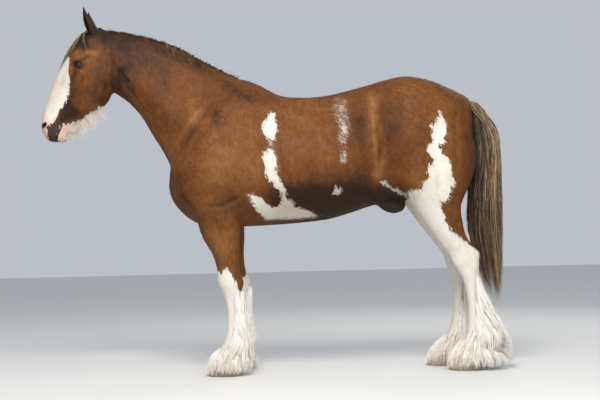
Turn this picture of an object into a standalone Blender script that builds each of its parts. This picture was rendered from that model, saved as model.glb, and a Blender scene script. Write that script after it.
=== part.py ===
"""A Clydesdale horse at life size, standing square, as a museum's still model.

The horse faces -X with its left side towards -Y, and its hooves stand on z = 0.
The flesh is lofted from cross sections at named stations, fused, smoothed, pushed out
into muscles and parted by thin cuts. Mane, forelock, beard, tail and leg feather are
flat, tapered locks, fused with the piece that they grow from. All sizes are in metres.
"""

import math
import random
from collections import namedtuple

import bmesh
import bpy
import numpy as np
from mathutils import Matrix, Vector
from mathutils.bvhtree import BVHTree

# Driving dimensions
HOOF_LENGTH = 0.200
HOOF_HALF_WIDTH = 0.094
HOOF_TOE_HEIGHT = 0.100
HOOF_HEEL_HEIGHT = 0.045
EYE_RADIUS = 0.0235
EYE_CENTRE = (-1.137, 0.096, 1.849)
EYE_SIGHT = (-0.30, 0.95, 0.05)
EAR_BASE = (-1.042, 0.052, 2.030)
EAR_TIP = (-1.112, 0.080, 2.190)
EAR_OPENS = (-0.90, 0.42, 0.0)
EAR_WALL = 0.0045
FORE_FOOT_Y = 0.165
HIND_FOOT_Y = 0.145
FLESH_GRAIN = 0.010
HEAD_TRIANGLES = 6700
FLESH_TRIANGLES = 3650
SEAM = 0.0006
CLEARANCE = 0.00035
FLOOR_CLEARANCE = 0.004

# A cross section in a plane that stands on y = centre. Its upper (or front) point and its
# lower (or back) point are given, then its half width, how far down the widest place lies
# as a share, and how square its upper and lower halves are, where 2 is an ellipse.
Section = namedtuple("Section", "x1 z1 x2 z2 half wide n1 n2 y")


def trunk(x1, z1, x2, z2, half, wide, n1, n2):
    return Section(x1, z1, x2, z2, half, wide, n1, n2, 0.0)


TORSO = [
    trunk(-0.605, 1.300, -0.590, 1.050, 0.060, 0.50, 2.0, 2.0),
    trunk(-0.585, 1.400, -0.575, 0.985, 0.170, 0.50, 2.0, 2.1),
    trunk(-0.530, 1.480, -0.520, 0.925, 0.240, 0.50, 2.0, 2.2),
    trunk(-0.440, 1.590, -0.440, 0.885, 0.278, 0.55, 1.9, 2.2),
    trunk(-0.320, 1.700, -0.330, 0.868, 0.292, 0.56, 1.8, 2.2),
    trunk(-0.200, 1.756, -0.200, 0.868, 0.298, 0.57, 1.75, 2.2),
    trunk(-0.080, 1.720, -0.080, 0.870, 0.310, 0.57, 1.8, 2.2),
    trunk(0.045, 1.652, 0.045, 0.875, 0.332, 0.56, 2.0, 2.2),
    trunk(0.180, 1.634, 0.180, 0.884, 0.350, 0.55, 2.15, 2.2),
    trunk(0.320, 1.641, 0.320, 0.900, 0.357, 0.54, 2.2, 2.2),
    trunk(0.450, 1.668, 0.450, 0.934, 0.350, 0.52, 2.2, 2.2),
    trunk(0.560, 1.696, 0.560, 0.968, 0.332, 0.50, 2.15, 2.2),
    trunk(0.670, 1.726, 0.670, 0.998, 0.318, 0.46, 2.15, 2.1),
    trunk(0.785, 1.744, 0.785, 1.010, 0.318, 0.44, 2.25, 2.1),
    trunk(0.900, 1.723, 0.890, 1.010, 0.315, 0.45, 2.3, 2.1),
    trunk(1.010, 1.684, 1.000, 1.030, 0.290, 0.45, 2.3, 2.2),
    trunk(1.105, 1.645, 1.095, 1.080, 0.235, 0.45, 2.2, 2.2),
    trunk(1.165, 1.612, 1.160, 1.150, 0.160, 0.45, 2.1, 2.1),
    trunk(1.192, 1.560, 1.192, 1.260, 0.060, 0.50, 2.0, 2.0),
]

NECK = [
    trunk(-1.045, 2.078, -1.000, 1.740, 0.082, 0.45, 2.0, 2.2),
    trunk(-0.965, 2.064, -0.935, 1.680, 0.094, 0.55, 1.8, 2.2),
    trunk(-0.850, 2.043, -0.862, 1.625, 0.104, 0.60, 1.65, 2.2),
    trunk(-0.700, 2.005, -0.785, 1.535, 0.118, 0.62, 1.55, 2.2),
    trunk(-0.555, 1.948, -0.722, 1.425, 0.138, 0.63, 1.55, 2.2),
    trunk(-0.405, 1.862, -0.668, 1.335, 0.170, 0.63, 1.55, 2.2),
    trunk(-0.270, 1.790, -0.622, 1.240, 0.212, 0.62, 1.6, 2.2),
    trunk(-0.160, 1.745, -0.580, 1.120, 0.245, 0.60, 1.7, 2.2),
]

HEAD = [
    trunk(-1.020, 2.092, -0.975, 2.050, 0.030, 0.50, 2.0, 2.0),
    trunk(-1.065, 2.074, -0.945, 1.990, 0.070, 0.50, 2.2, 2.0),
    trunk(-1.114, 2.036, -0.933, 1.935, 0.093, 0.42, 2.4, 2.0),
    trunk(-1.160, 1.990, -0.935, 1.874, 0.106, 0.38, 2.5, 2.0),
    trunk(-1.200, 1.938, -0.937, 1.812, 0.113, 0.36, 2.6, 2.0),
    trunk(-1.238, 1.883, -0.945, 1.750, 0.112, 0.36, 2.6, 2.0),
    trunk(-1.268, 1.836, -0.957, 1.692, 0.102, 0.40, 2.6, 2.1),
    trunk(-1.293, 1.789, -0.978, 1.642, 0.093, 0.42, 2.6, 2.1),
    trunk(-1.314, 1.741, -1.016, 1.600, 0.083, 0.42, 2.6, 2.0),
    trunk(-1.334, 1.694, -1.070, 1.570, 0.074, 0.42, 2.6, 2.0),
    trunk(-1.353, 1.646, -1.126, 1.540, 0.067, 0.42, 2.5, 2.0),
    trunk(-1.370, 1.599, -1.172, 1.508, 0.063, 0.42, 2.4, 2.0),
    trunk(-1.383, 1.553, -1.207, 1.476, 0.063, 0.42, 2.3, 2.1),
    trunk(-1.386, 1.509, -1.226, 1.440, 0.067, 0.42, 2.3, 2.2),
    trunk(-1.381, 1.468, -1.236, 1.413, 0.064, 0.45, 2.3, 2.3),
    trunk(-1.371, 1.436, -1.247, 1.398, 0.056, 0.50, 2.2, 2.2),
    trunk(-1.352, 1.412, -1.270, 1.396, 0.036, 0.50, 2.0, 2.0),
]


def limb(z, front, back, half, y, n1=2.1, n2=2.1, tilt=0.0, wide=0.5):
    """A level section of a leg; tilt raises its front point and lowers its back one."""
    return Section(front, z + tilt, back, z - tilt, half, wide, n1, n2, y)


FORELEG = [
    limb(1.060, -0.470, -0.215, 0.060, 0.205),
    limb(0.960, -0.462, -0.198, 0.082, 0.198),
    limb(0.880, -0.436, -0.202, 0.088, 0.190),
    limb(0.790, -0.406, -0.205, 0.080, 0.184),
    limb(0.705, -0.370, -0.208, 0.069, 0.179),
    limb(0.640, -0.351, -0.209, 0.060, 0.176),
    limb(0.585, -0.339, -0.203, 0.062, 0.174),
    limb(0.530, -0.337, -0.194, 0.063, 0.172),
    limb(0.482, -0.320, -0.197, 0.055, 0.170),
    limb(0.435, -0.303, -0.209, 0.046, 0.168),
    limb(0.350, -0.292, -0.211, 0.042, 0.167),
    limb(0.265, -0.295, -0.207, 0.045, 0.166),
    limb(0.215, -0.308, -0.190, 0.056, 0.165),
    limb(0.175, -0.322, -0.194, 0.057, 0.165, tilt=0.008),
    limb(0.135, -0.343, -0.220, 0.056, 0.165, tilt=0.016),
    limb(0.100, -0.366, -0.232, 0.068, 0.165, tilt=0.024),
    limb(0.060, -0.374, -0.232, 0.070, 0.165, tilt=0.024),
]

HINDLEG = [
    limb(1.480, 0.800, 1.100, 0.080, 0.165),
    limb(1.350, 0.720, 1.172, 0.132, 0.172),
    limb(1.220, 0.680, 1.190, 0.148, 0.170),
    limb(1.110, 0.700, 1.160, 0.146, 0.168),
    limb(1.020, 0.765, 1.118, 0.130, 0.166),
    limb(0.950, 0.815, 1.092, 0.110, 0.163),
    limb(0.870, 0.868, 1.100, 0.092, 0.160),
    limb(0.790, 0.925, 1.122, 0.078, 0.156),
    limb(0.725, 0.968, 1.158, 0.068, 0.152),
    limb(0.670, 1.010, 1.192, 0.062, 0.149),
    limb(0.610, 1.046, 1.196, 0.062, 0.147),
    limb(0.545, 1.080, 1.192, 0.058, 0.146),
    limb(0.460, 1.108, 1.194, 0.049, 0.145),
    limb(0.350, 1.118, 1.200, 0.047, 0.145),
    limb(0.270, 1.116, 1.208, 0.050, 0.145),
    limb(0.215, 1.106, 1.224, 0.061, 0.145),
    limb(0.175, 1.094, 1.218, 0.060, 0.145, tilt=0.008),
    limb(0.135, 1.072, 1.192, 0.058, 0.145, tilt=0.016),
    limb(0.100, 1.048, 1.180, 0.069, 0.145, tilt=0.024),
    limb(0.060, 1.040, 1.180, 0.071, 0.145, tilt=0.024),
]

# How far each leg stands behind the tables above, at heights from the foot up.
Stance = namedtuple("Stance", "side rows foot_y foot cannon joint")
LEGS = {
    "fore_left": Stance(-1, FORELEG, FORE_FOOT_Y, 0.000, 0.000, 0.000),
    "fore_right": Stance(1, FORELEG, FORE_FOOT_Y, 0.012, 0.030, 0.008),
    "hind_left": Stance(-1, HINDLEG, HIND_FOOT_Y, 0.000, 0.000, 0.000),
    "hind_right": Stance(1, HINDLEG, HIND_FOOT_Y, -0.100, -0.030, 0.012),
}
STANCE_HEIGHTS = (0.0, 0.45, 0.70, 1.00)

# Muscles, bony points and hollows: centre, radii, pitch in degrees and how far the skin
# is pushed out there. They lie alike on both sides.
Form = namedtuple("Form", "at radii pitch push")
FORMS = [
    # Shoulder blade, point of the shoulder, triceps, breast and elbow
    Form((-0.330, 0.270, 1.450), (0.060, 0.120, 0.260), 38, 0.012),
    Form((-0.210, 0.260, 1.520), (0.060, 0.120, 0.180), 24, -0.010),
    Form((-0.545, 0.200, 1.215), (0.075, 0.090, 0.080), 20, 0.022),
    Form((-0.290, 0.270, 1.200), (0.150, 0.120, 0.160), 20, 0.022),
    Form((-0.440, 0.260, 1.330), (0.045, 0.100, 0.160), 42, -0.008),
    Form((-0.560, 0.105, 1.100), (0.080, 0.075, 0.100), 0, 0.028),
    Form((-0.580, 0.000, 1.110), (0.060, 0.030, 0.110), 0, -0.030),
    Form((-0.200, 0.225, 1.000), (0.045, 0.060, 0.055), 0, 0.016),
    Form((-0.120, 0.270, 1.100), (0.060, 0.100, 0.160), 10, -0.010),
    # Neck: windpipe line, groove above it and the crest
    Form((-0.780, 0.110, 1.600), (0.050, 0.060, 0.300), -38, -0.010),
    Form((-0.620, 0.160, 1.560), (0.070, 0.080, 0.260), -42, 0.010),
    Form((-0.400, 0.190, 1.700), (0.070, 0.100, 0.150), 30, -0.010),
    # Barrel, flank hollow and hip
    Form((0.200, 0.340, 1.180), (0.330, 0.150, 0.200), 0, 0.010),
    Form((0.555, 0.300, 1.450), (0.080, 0.100, 0.110), 10, -0.026),
    Form((0.660, 0.285, 1.560), (0.060, 0.080, 0.055), 0, 0.020),
    Form((0.620, 0.250, 1.120), (0.060, 0.080, 0.120), 12, -0.012),
    # Croup, thigh, stifle and the furrow down the back of the haunch
    Form((0.880, 0.200, 1.640), (0.160, 0.100, 0.100), 0, 0.016),
    Form((0.850, 0.000, 1.740), (0.260, 0.030, 0.050), 0, -0.010),
    Form((0.830, 0.300, 1.300), (0.110, 0.100, 0.190), -8, 0.016),
    Form((1.020, 0.270, 1.360), (0.060, 0.100, 0.260), -6, 0.012),
    Form((0.945, 0.280, 1.200), (0.035, 0.090, 0.240), -10, -0.012),
    Form((0.800, 0.255, 1.080), (0.060, 0.070, 0.060), 0, 0.020),
    # Head: cheek, its edge, eye ridge, temple, face crest, nostrils and chin
    Form((-1.050, 0.080, 1.760), (0.085, 0.050, 0.110), 24, 0.014),
    Form((-1.134, 0.102, 1.874), (0.045, 0.040, 0.020), 24, 0.014),
    Form((-1.105, 0.085, 1.945), (0.030, 0.035, 0.030), 24, -0.012),
    Form((-1.205, 0.100, 1.795), (0.018, 0.045, 0.080), 24, 0.009),
    Form((-1.255, 0.080, 1.690), (0.040, 0.045, 0.090), 24, -0.008),
    Form((-1.345, 0.052, 1.500), (0.030, 0.035, 0.045), 24, 0.012),
    Form((-1.120, 0.070, 1.620), (0.040, 0.045, 0.060), 24, -0.008),
]
LEG_FORMS = [
    Form((-0.400, 0.190, 0.860), (0.070, 0.070, 0.110), 8, 0.012),
    Form((-0.235, 0.190, 0.840), (0.045, 0.070, 0.110), 0, 0.008),
    Form((-0.330, 0.173, 0.550), (0.050, 0.080, 0.045), 0, 0.006),
    Form((-0.200, 0.173, 0.545), (0.025, 0.040, 0.030), 0, 0.008),
    Form((-0.235, 0.168, 0.360), (0.014, 0.080, 0.110), 0, -0.006),
    Form((1.000, 0.165, 0.910), (0.060, 0.080, 0.110), -24, 0.010),
    Form((1.085, 0.155, 0.800), (0.022, 0.080, 0.090), -24, -0.016),
    Form((1.195, 0.150, 0.690), (0.030, 0.040, 0.035), 0, 0.010),
    Form((1.060, 0.148, 0.620), (0.050, 0.080, 0.045), 0, 0.006),
    Form((1.170, 0.146, 0.400), (0.014, 0.080, 0.130), 0, -0.007),
]
# An ellipsoid's centre, radii and pitch in degrees
Muscle = namedtuple("Muscle", "at radii pitch")
SHEATH = Muscle((0.700, 0.0, 0.985), (0.090, 0.050, 0.060), 12)
CHIN = Muscle((-1.262, 0.0, 1.428), (0.036, 0.044, 0.036), 30)
NOSTRIL = Muscle((-1.354, 0.062, 1.494), (0.0105, 0.022, 0.021), 25)
LID_OPENING = (0.0235, 0.0135)
LID_THICKNESS = 0.0050
MOUTH_CORNER = (-1.254, 1.499)
MOUTH_FRONT = (-1.300, 1.388)
MOUTH_GROOVE = 0.0045

# The long hair, all in flat tapered locks
SEED = 5
MANE_LOCKS = 16
MANE_WISPS = 5
MANE_FRONT = -0.958
MANE_BACK = -0.372
MANE_LENGTH = 0.235
POLL = Vector((-1.055, 0.0, 2.053))
FACE = Vector((-0.426, 0.0, -0.905))
JAW = Vector((0.905, 0.0, -0.426))
FORELOCK_LOCKS = 5
FORELOCK_LENGTH = 0.175
BEARD_LOCKS = 12
BEARD_BACK = 0.405
BEARD_FRONT = 0.640
BEARD_LENGTH = 0.060
FEATHER_HEIGHTS = (0.000, 0.046, 0.105, 0.164, 0.263, 0.354, 0.460, 0.520)
HIND_FEATHER_BACK = (0.165, 0.195, 0.205, 0.172, 0.132, 0.085, 0.022, 0.010)
FORE_FEATHER_BACK = (0.085, 0.090, 0.072, 0.050, 0.032, 0.022, 0.012, 0.008)
FEATHER_SIDE = (0.046, 0.044, 0.036, 0.028, 0.014, 0.008, 0.006, 0.006)
FEATHER_FRONT = (0.046, 0.034, 0.016, 0.010, 0.008, 0.006, 0.006, 0.006)
# A row of feather: how many locks, the first one's degrees from the front, the heights of
# their roots and tips, half their width, and how much higher the row is on a hind leg
Row = namedtuple("Row", "count first top tip half_width rise")
FEATHER_ROWS = [
    Row(11, 10, 0.155, 0.018, 0.0370, 0.2),
    Row(4, 105, 0.275, 0.075, 0.0410, 0.7),
    Row(3, 130, 0.400, 0.190, 0.0350, 1.0),
]
FEATHER_CORE = 0.5
FEATHER_CORE_HEIGHTS = (0.030, 0.110, 0.210, 0.400)
TAIL_LOCKS = 15
TAIL_ROOT_TOP = 1.560
TAIL_ROOT_LOW = 1.020
TAIL_TIP = 0.332
TAIL_FULLNESS = 1.2
TAIL_DOCK = [
    Section(1.120, 1.620, 1.150, 1.530, 0.028, 0.5, 2, 2, 0.0),
    Section(1.205, 1.606, 1.190, 1.520, 0.040, 0.5, 2, 2, 0.0),
    Section(1.285, 1.535, 1.220, 1.465, 0.042, 0.5, 2, 2, 0.0),
    Section(1.322, 1.400, 1.240, 1.380, 0.040, 0.5, 2, 2, 0.0),
    Section(1.320, 1.200, 1.250, 1.200, 0.035, 0.5, 2, 2, 0.0),
    Section(1.300, 0.970, 1.270, 0.970, 0.014, 0.5, 2, 2, 0.0),
]
# Height, front, back and half width of the tail's outline, from the top down
TAIL_OUTLINE = [
    (1.600, 1.180, 1.250, 0.045),
    (1.520, 1.195, 1.300, 0.055),
    (1.440, 1.205, 1.343, 0.062),
    (1.350, 1.212, 1.353, 0.068),
    (1.200, 1.210, 1.357, 0.076),
    (1.000, 1.180, 1.355, 0.085),
    (0.850, 1.165, 1.355, 0.086),
    (0.700, 1.196, 1.358, 0.078),
    (0.550, 1.240, 1.358, 0.062),
    (0.425, 1.280, 1.350, 0.040),
    (0.330, 1.310, 1.340, 0.020),
]


def clear_scene():
    for obj in list(bpy.data.objects):
        bpy.data.objects.remove(obj)


def material(name, colour, roughness, metallic=0.0):
    made = bpy.data.materials.new(name)
    made.use_nodes = True
    shader = made.node_tree.nodes["Principled BSDF"]
    shader.inputs["Base Color"].default_value = (*colour, 1.0)
    shader.inputs["Roughness"].default_value = roughness
    shader.inputs["Metallic"].default_value = metallic
    return made


def add_object(name, bm):
    """Turns a bmesh into an object of the scene, with its faces pointing out."""
    bmesh.ops.recalc_face_normals(bm, faces=bm.faces)
    mesh = bpy.data.meshes.new(name)
    bm.to_mesh(mesh)
    bm.free()
    obj = bpy.data.objects.new(name, mesh)
    bpy.context.scene.collection.objects.link(obj)
    return obj


def through(rows, steps):
    """Rows of numbers along a smooth Catmull-Rom curve through the given rows."""
    given = np.array(rows, float)
    padded = np.vstack([given[0], given, given[-1]])
    out = []
    for i in range(len(given) - 1):
        a, b, c, d = padded[i : i + 4]
        for t in np.linspace(0, 1, steps, endpoint=False):
            out.append(
                0.5
                * (
                    2 * b
                    + (c - a) * t
                    + (2 * a - 5 * b + 4 * c - d) * t**2
                    + (3 * b - a - 3 * c + d) * t**3
                )
            )
    out.append(given[-1])
    return np.array(out)


def ring(section, around):
    """Points around one cross section, from the two squared half ellipses that it names."""
    s = Section(*section)
    points = []
    for k in range(around):
        angle = 2 * math.pi * k / around
        across, down = math.cos(angle), math.sin(angle)
        power = 2 / (s.n1 if down > 0 else s.n2)
        sideways = math.copysign(abs(across) ** power, across) * s.half
        reach = abs(down) ** power
        share = s.wide * (1 - reach) if down > 0 else s.wide + (1 - s.wide) * reach
        x = s.x1 + (s.x2 - s.x1) * share
        z = s.z1 + (s.z2 - s.z1) * share
        points.append((x, s.y + sideways, z))
    return points


def skin_rings(bm, rings):
    """Joins closed rings of equal count into a tube and caps both ends."""
    loops = [[bm.verts.new(p) for p in r] for r in rings]
    count = len(loops[0])
    for one, two in zip(loops, loops[1:]):
        for k in range(count):
            bm.faces.new((one[k], one[(k + 1) % count], two[(k + 1) % count], two[k]))
    bm.faces.new(loops[0][::-1])
    bm.faces.new(loops[-1])


def loft(bm, rows, around=32, steps=4):
    skin_rings(bm, [ring(row, around) for row in through(rows, steps)])


def swell(bm, muscle, side=1):
    """An ellipsoid, turned about the Y axis by the muscle's pitch."""
    x, y, z = muscle.at
    place = Matrix.Translation((x, side * y, z))
    turn = Matrix.Rotation(math.radians(muscle.pitch), 4, "Y")
    size = Matrix.Diagonal((*muscle.radii, 1.0))
    bmesh.ops.create_icosphere(bm, subdivisions=4, radius=1.0, matrix=place @ turn @ size)


def leg_rows(stance):
    """A leg's sections, moved to its own stance and side."""
    shifts = (stance.foot, stance.cannon, stance.joint, 0.0)
    rows = []
    for s in stance.rows:
        move = float(np.interp((s.z1 + s.z2) / 2, STANCE_HEIGHTS, shifts))
        rows.append(s._replace(x1=s.x1 + move, x2=s.x2 + move, y=stance.side * s.y))
    return rows


def apply_modifiers(obj):
    """Replaces the object's mesh by what its modifiers make of it."""
    graph = bpy.context.evaluated_depsgraph_get()
    made = bpy.data.meshes.new_from_object(obj.evaluated_get(graph))
    obj.modifiers.clear()
    obj.data = made


def remesh(obj, grain, passes):
    fuse = obj.modifiers.new("fuse", "REMESH")
    fuse.mode = "VOXEL"
    fuse.voxel_size = grain
    even = obj.modifiers.new("even", "SMOOTH")
    even.factor = 0.5
    even.iterations = passes
    apply_modifiers(obj)


def stance_shift(points):
    """How far each point's own leg stands behind the near legs' places."""
    shift = np.zeros(len(points))
    for name, stance in LEGS.items():
        fore = points[:, 0] < 0.3
        mine = (fore == name.startswith("fore")) & (np.sign(points[:, 1]) == stance.side)
        shifts = (stance.foot, stance.cannon, stance.joint, 0.0)
        shift[mine] = np.interp(points[mine, 2], STANCE_HEIGHTS, shifts)
    return shift


def sculpt(obj):
    """Pushes the surface out or in along its normals by the soft forms listed above."""
    mesh = obj.data
    flat = np.empty(len(mesh.vertices) * 3)
    mesh.vertices.foreach_get("co", flat)
    points = flat.reshape(-1, 3)
    normals = np.empty(len(mesh.vertices) * 3)
    mesh.vertex_normals.foreach_get("vector", normals)
    shift = stance_shift(points)
    total = np.zeros(len(points))
    for form in FORMS + LEG_FORMS:
        x, y, z = form.at
        ahead = points[:, 0] - x
        if form in LEG_FORMS:
            ahead = ahead - shift
        above = points[:, 2] - z
        turn = math.radians(form.pitch)
        one = math.cos(turn) * ahead - math.sin(turn) * above
        two = math.sin(turn) * ahead + math.cos(turn) * above
        beside = np.abs(points[:, 1]) - y
        rx, ry, rz = form.radii
        total += form.push * np.exp(-((one / rx) ** 2) - (two / rz) ** 2 - (beside / ry) ** 2)
    points += normals.reshape(-1, 3) * total[:, None]
    mesh.vertices.foreach_set("co", points.ravel())
    mesh.update()


def decimate(obj, triangles, keep_head=False):
    """Brings the mesh down to about so many triangles, all over or all but the head."""
    group = obj.vertex_groups.new(name="coarse")
    for vert in obj.data.vertices:
        in_head = vert.co.x < -0.93 and vert.co.z > 1.35
        group.add([vert.index], 0.0 if keep_head and in_head else 1.0, "REPLACE")
    fewer = obj.modifiers.new("fewer", "DECIMATE")
    fewer.vertex_group = group.name
    fewer.ratio = triangles / sum(len(p.vertices) - 2 for p in obj.data.polygons)
    fewer.use_collapse_triangulate = True
    apply_modifiers(obj)
    obj.vertex_groups.clear()


def boolean(obj, others, operation, solver="EXACT"):
    """Joins or cuts obj with every other object at once, then removes them."""
    group = bpy.data.collections.new("group")
    bpy.context.scene.collection.children.link(group)
    for other in others:
        for home in list(other.users_collection):
            home.objects.unlink(other)
        group.objects.link(other)
    step = obj.modifiers.new("step", "BOOLEAN")
    step.operation = operation
    step.operand_type = "COLLECTION"
    step.collection = group
    step.solver = solver
    apply_modifiers(obj)
    for other in others:
        bpy.data.objects.remove(other)
    bpy.data.collections.remove(group)


def islands(obj):
    """The mesh's separate closed surfaces, each as a bmesh, largest first."""
    bm = bmesh.new()
    bm.from_mesh(obj.data)
    left = set(bm.faces)
    groups = []
    while left:
        stack = [left.pop()]
        found = set(stack)
        while stack:
            for edge in stack.pop().edges:
                for face in edge.link_faces:
                    if face in left:
                        left.discard(face)
                        found.add(face)
                        stack.append(face)
        groups.append({f.index for f in found})
    bm.free()
    groups.sort(key=len, reverse=True)
    made = []
    for keep in groups:
        piece = bmesh.new()
        piece.from_mesh(obj.data)
        piece.faces.ensure_lookup_table()
        drop = [f for f in piece.faces if f.index not in keep]
        bmesh.ops.delete(piece, geom=drop, context="FACES")
        made.append(piece)
    return made


def keep_largest(obj):
    """Keeps only the largest closed surface, in triangles so that copies of it agree."""
    pieces = islands(obj)
    bmesh.ops.triangulate(pieces[0], faces=pieces[0].faces)
    pieces[0].to_mesh(obj.data)
    for piece in pieces:
        piece.free()


def triangulate_all(objects):
    for obj in objects:
        bm = bmesh.new()
        bm.from_mesh(obj.data)
        bmesh.ops.triangulate(bm, faces=bm.faces)
        bm.to_mesh(obj.data)
        bm.free()


def swollen_copy(obj, gap=CLEARANCE):
    """A copy whose surface stands out by the gap, to cut a neighbour clear of it."""
    copy = obj.copy()
    copy.data = obj.data.copy()
    bpy.context.scene.collection.objects.link(copy)
    bm = bmesh.new()
    bm.from_mesh(copy.data)
    bm.normal_update()
    for vert in bm.verts:
        vert.co += vert.normal * gap * vert.calc_shell_factor()
    bm.to_mesh(copy.data)
    bm.free()
    return copy


def cut_clear(obj, neighbour):
    """Leaves a thin gap to a neighbour that reaches into the object."""
    boolean(obj, [swollen_copy(neighbour)], "DIFFERENCE")
    keep_largest(obj)


def slab(start, end, low_y, high_y):
    """A thin upright cutter between two (x, z) points, from low_y to high_y."""
    (x1, z1), (x2, z2) = start, end
    across = Vector((x2 - x1, 0, z2 - z1))
    middle = Vector(((x1 + x2) / 2, (low_y + high_y) / 2, (z1 + z2) / 2))
    normal = Vector((across.z, 0, -across.x)).normalized()
    turn = Matrix((across.normalized(), (0, 1, 0), normal)).transposed().to_4x4()
    size = Matrix.Diagonal((across.length, high_y - low_y, SEAM, 1.0))
    bm = bmesh.new()
    bmesh.ops.create_cube(bm, size=1.0, matrix=Matrix.Translation(middle) @ turn @ size)
    return add_object("slab", bm)


SEAMS = [
    ((-0.985, 2.20), (-0.938, 1.58), -0.3, 0.3),
    ((-0.285, 1.90), (-0.680, 1.22), -0.5, 0.5),
    ((-0.600, 0.850), (-0.100, 0.850), -0.5, 0.5),
    ((-0.500, 0.470), (-0.050, 0.470), -0.5, 0.5),
    ((0.790, 0.930), (1.300, 0.930), -0.5, 0.5),
    ((0.900, 0.530), (1.350, 0.530), -0.5, 0.5),
]


def flesh_name(middle):
    """Which part of the body a piece is, from where its middle lies."""
    x, y, z = middle
    if x < -0.98 or (x < -0.9 and z > 1.6):
        return "head"
    if z > 1.3 and x < -0.35:
        return "neck"
    if z > 1.0:
        return "torso"
    leg = "foreleg" if x < 0.3 else "hindleg"
    side = "left" if y < 0 else "right"
    level = "upper" if z > 0.5 else "lower"
    return f"{leg}_{side}_{level}"


def make_flesh():
    """The whole body as one smooth surface, then parted into its named pieces."""
    bm = bmesh.new()
    loft(bm, TORSO)
    loft(bm, NECK)
    loft(bm, HEAD)
    for stance in LEGS.values():
        loft(bm, leg_rows(stance), around=24)
    swell(bm, SHEATH)
    swell(bm, CHIN)
    body = add_object("body", bm)
    remesh(body, FLESH_GRAIN, passes=14)
    sculpt(body)
    decimate(body, HEAD_TRIANGLES)
    decimate(body, FLESH_TRIANGLES, keep_head=True)
    boolean(body, [slab(*seam) for seam in SEAMS], "DIFFERENCE")
    parts = {}
    for piece in islands(body):
        if len(piece.faces) < 50:
            piece.free()
            continue
        middle = sum((v.co for v in piece.verts), Vector()) / len(piece.verts)
        parts[flesh_name(middle)] = add_object(flesh_name(middle), piece)
    bpy.data.objects.remove(body)
    return parts


def make_hoof(name, stance):
    """A hoof: a squat cone cut by the slope of the coronet, flat on the floor."""
    lowest = leg_rows(stance)[-1]
    shift = stance.foot
    toe = (-0.408 if stance.rows is FORELEG else 1.003) + shift
    heel = toe + HOOF_LENGTH
    y = stance.side * stance.foot_y
    front, back = lowest.x1 - 0.004, lowest.x2 + 0.006
    rows = [
        Section(toe, 0.0, heel, 0.0, HOOF_HALF_WIDTH, 0.45, 2.2, 2.6, y),
        Section(toe + 0.004, 0.010, heel, 0.006, HOOF_HALF_WIDTH - 0.001, 0.45, 2.2, 2.6, y),
        Section(
            front, HOOF_TOE_HEIGHT, back, HOOF_HEEL_HEIGHT, 0.078, 0.47, 2.1, 2.4, y
        ),
        Section(
            front + 0.008, HOOF_TOE_HEIGHT + 0.004, back - 0.008,
            HOOF_HEEL_HEIGHT + 0.004, 0.070, 0.47, 2.1, 2.4, y,
        ),
    ]
    bm = bmesh.new()
    skin_rings(bm, [ring(row, 16) for row in rows])
    bmesh.ops.triangulate(bm, faces=bm.faces)
    return add_object(name, bm)


def make_eye(name, side):
    bm = bmesh.new()
    x, y, z = EYE_CENTRE
    place = Matrix.Translation((x, side * y, z))
    bmesh.ops.create_uvsphere(
        bm, u_segments=10, v_segments=7, radius=EYE_RADIUS, matrix=place
    )
    return add_object(name, bm)


def sight_frame(side):
    """Axes at the eye: along the lid slit, up, and out along the line of sight."""
    sight = Vector((EYE_SIGHT[0], side * EYE_SIGHT[1], EYE_SIGHT[2])).normalized()
    slit = Vector((-0.80, 0, -0.60))
    slit = (slit - slit.dot(sight) * sight).normalized()
    return slit, sight.cross(slit), sight


def open_lids(head, side):
    """Swells the lids over the eyeball, then cuts its bed and the almond slit between them."""
    x, y, z = EYE_CENTRE
    centre = Vector((x, side * y, z))
    lids = bmesh.new()
    bmesh.ops.create_uvsphere(
        lids, u_segments=14, v_segments=9, radius=EYE_RADIUS + LID_THICKNESS,
        matrix=Matrix.Translation(centre),
    )
    boolean(head, [add_object("lids", lids)], "UNION")
    slit, up, sight = sight_frame(side)
    bed = bmesh.new()
    bmesh.ops.create_uvsphere(
        bed, u_segments=10, v_segments=7, radius=EYE_RADIUS + CLEARANCE,
        matrix=Matrix.Translation(centre),
    )
    turn = Matrix((slit, up, sight)).transposed().to_4x4()
    size = Matrix.Diagonal((*LID_OPENING, 0.028, 1.0))
    place = Matrix.Translation(centre + sight * 0.022)
    almond = bmesh.new()
    bmesh.ops.create_uvsphere(
        almond, u_segments=12, v_segments=8, radius=1.0, matrix=place @ turn @ size
    )
    boolean(head, [add_object("bed", bed), add_object("almond", almond)], "DIFFERENCE")


def open_nostrils(head):
    for side in (-1, 1):
        bm = bmesh.new()
        x, y, z = NOSTRIL.at
        place = Matrix.Translation((x, side * y, z))
        turn = Matrix.Rotation(math.radians(NOSTRIL.pitch), 4, "Y")
        yaw = Matrix.Rotation(math.radians(-side * 35), 4, "Z")
        size = Matrix.Diagonal((*NOSTRIL.radii, 1.0))
        bmesh.ops.create_uvsphere(
            bm, u_segments=10, v_segments=7, radius=1.0, matrix=place @ yaw @ turn @ size
        )
        boolean(head, [add_object("nostril", bm)], "DIFFERENCE")


def mouth_points(tree, count=9):
    """Points of the lips' meeting line on the skin, from corner to corner round the front."""
    (cx, cz), (fx, fz) = MOUTH_CORNER, MOUTH_FRONT
    points = []
    for k in range(count):
        turn = math.pi * (k / (count - 1))
        along = math.sin(turn) ** 0.8
        x, z = cx + (fx - cx) * along, cz + (fz - cz) * along
        outside = Vector((x, math.cos(turn) * 0.3, z - 0.05 * along))
        inside = Vector((x, math.cos(turn) * 0.012, z + 0.02 * along))
        hit = tree.ray_cast(outside, (inside - outside).normalized())[0]
        points.append(hit if hit else inside)
    return points


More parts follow.
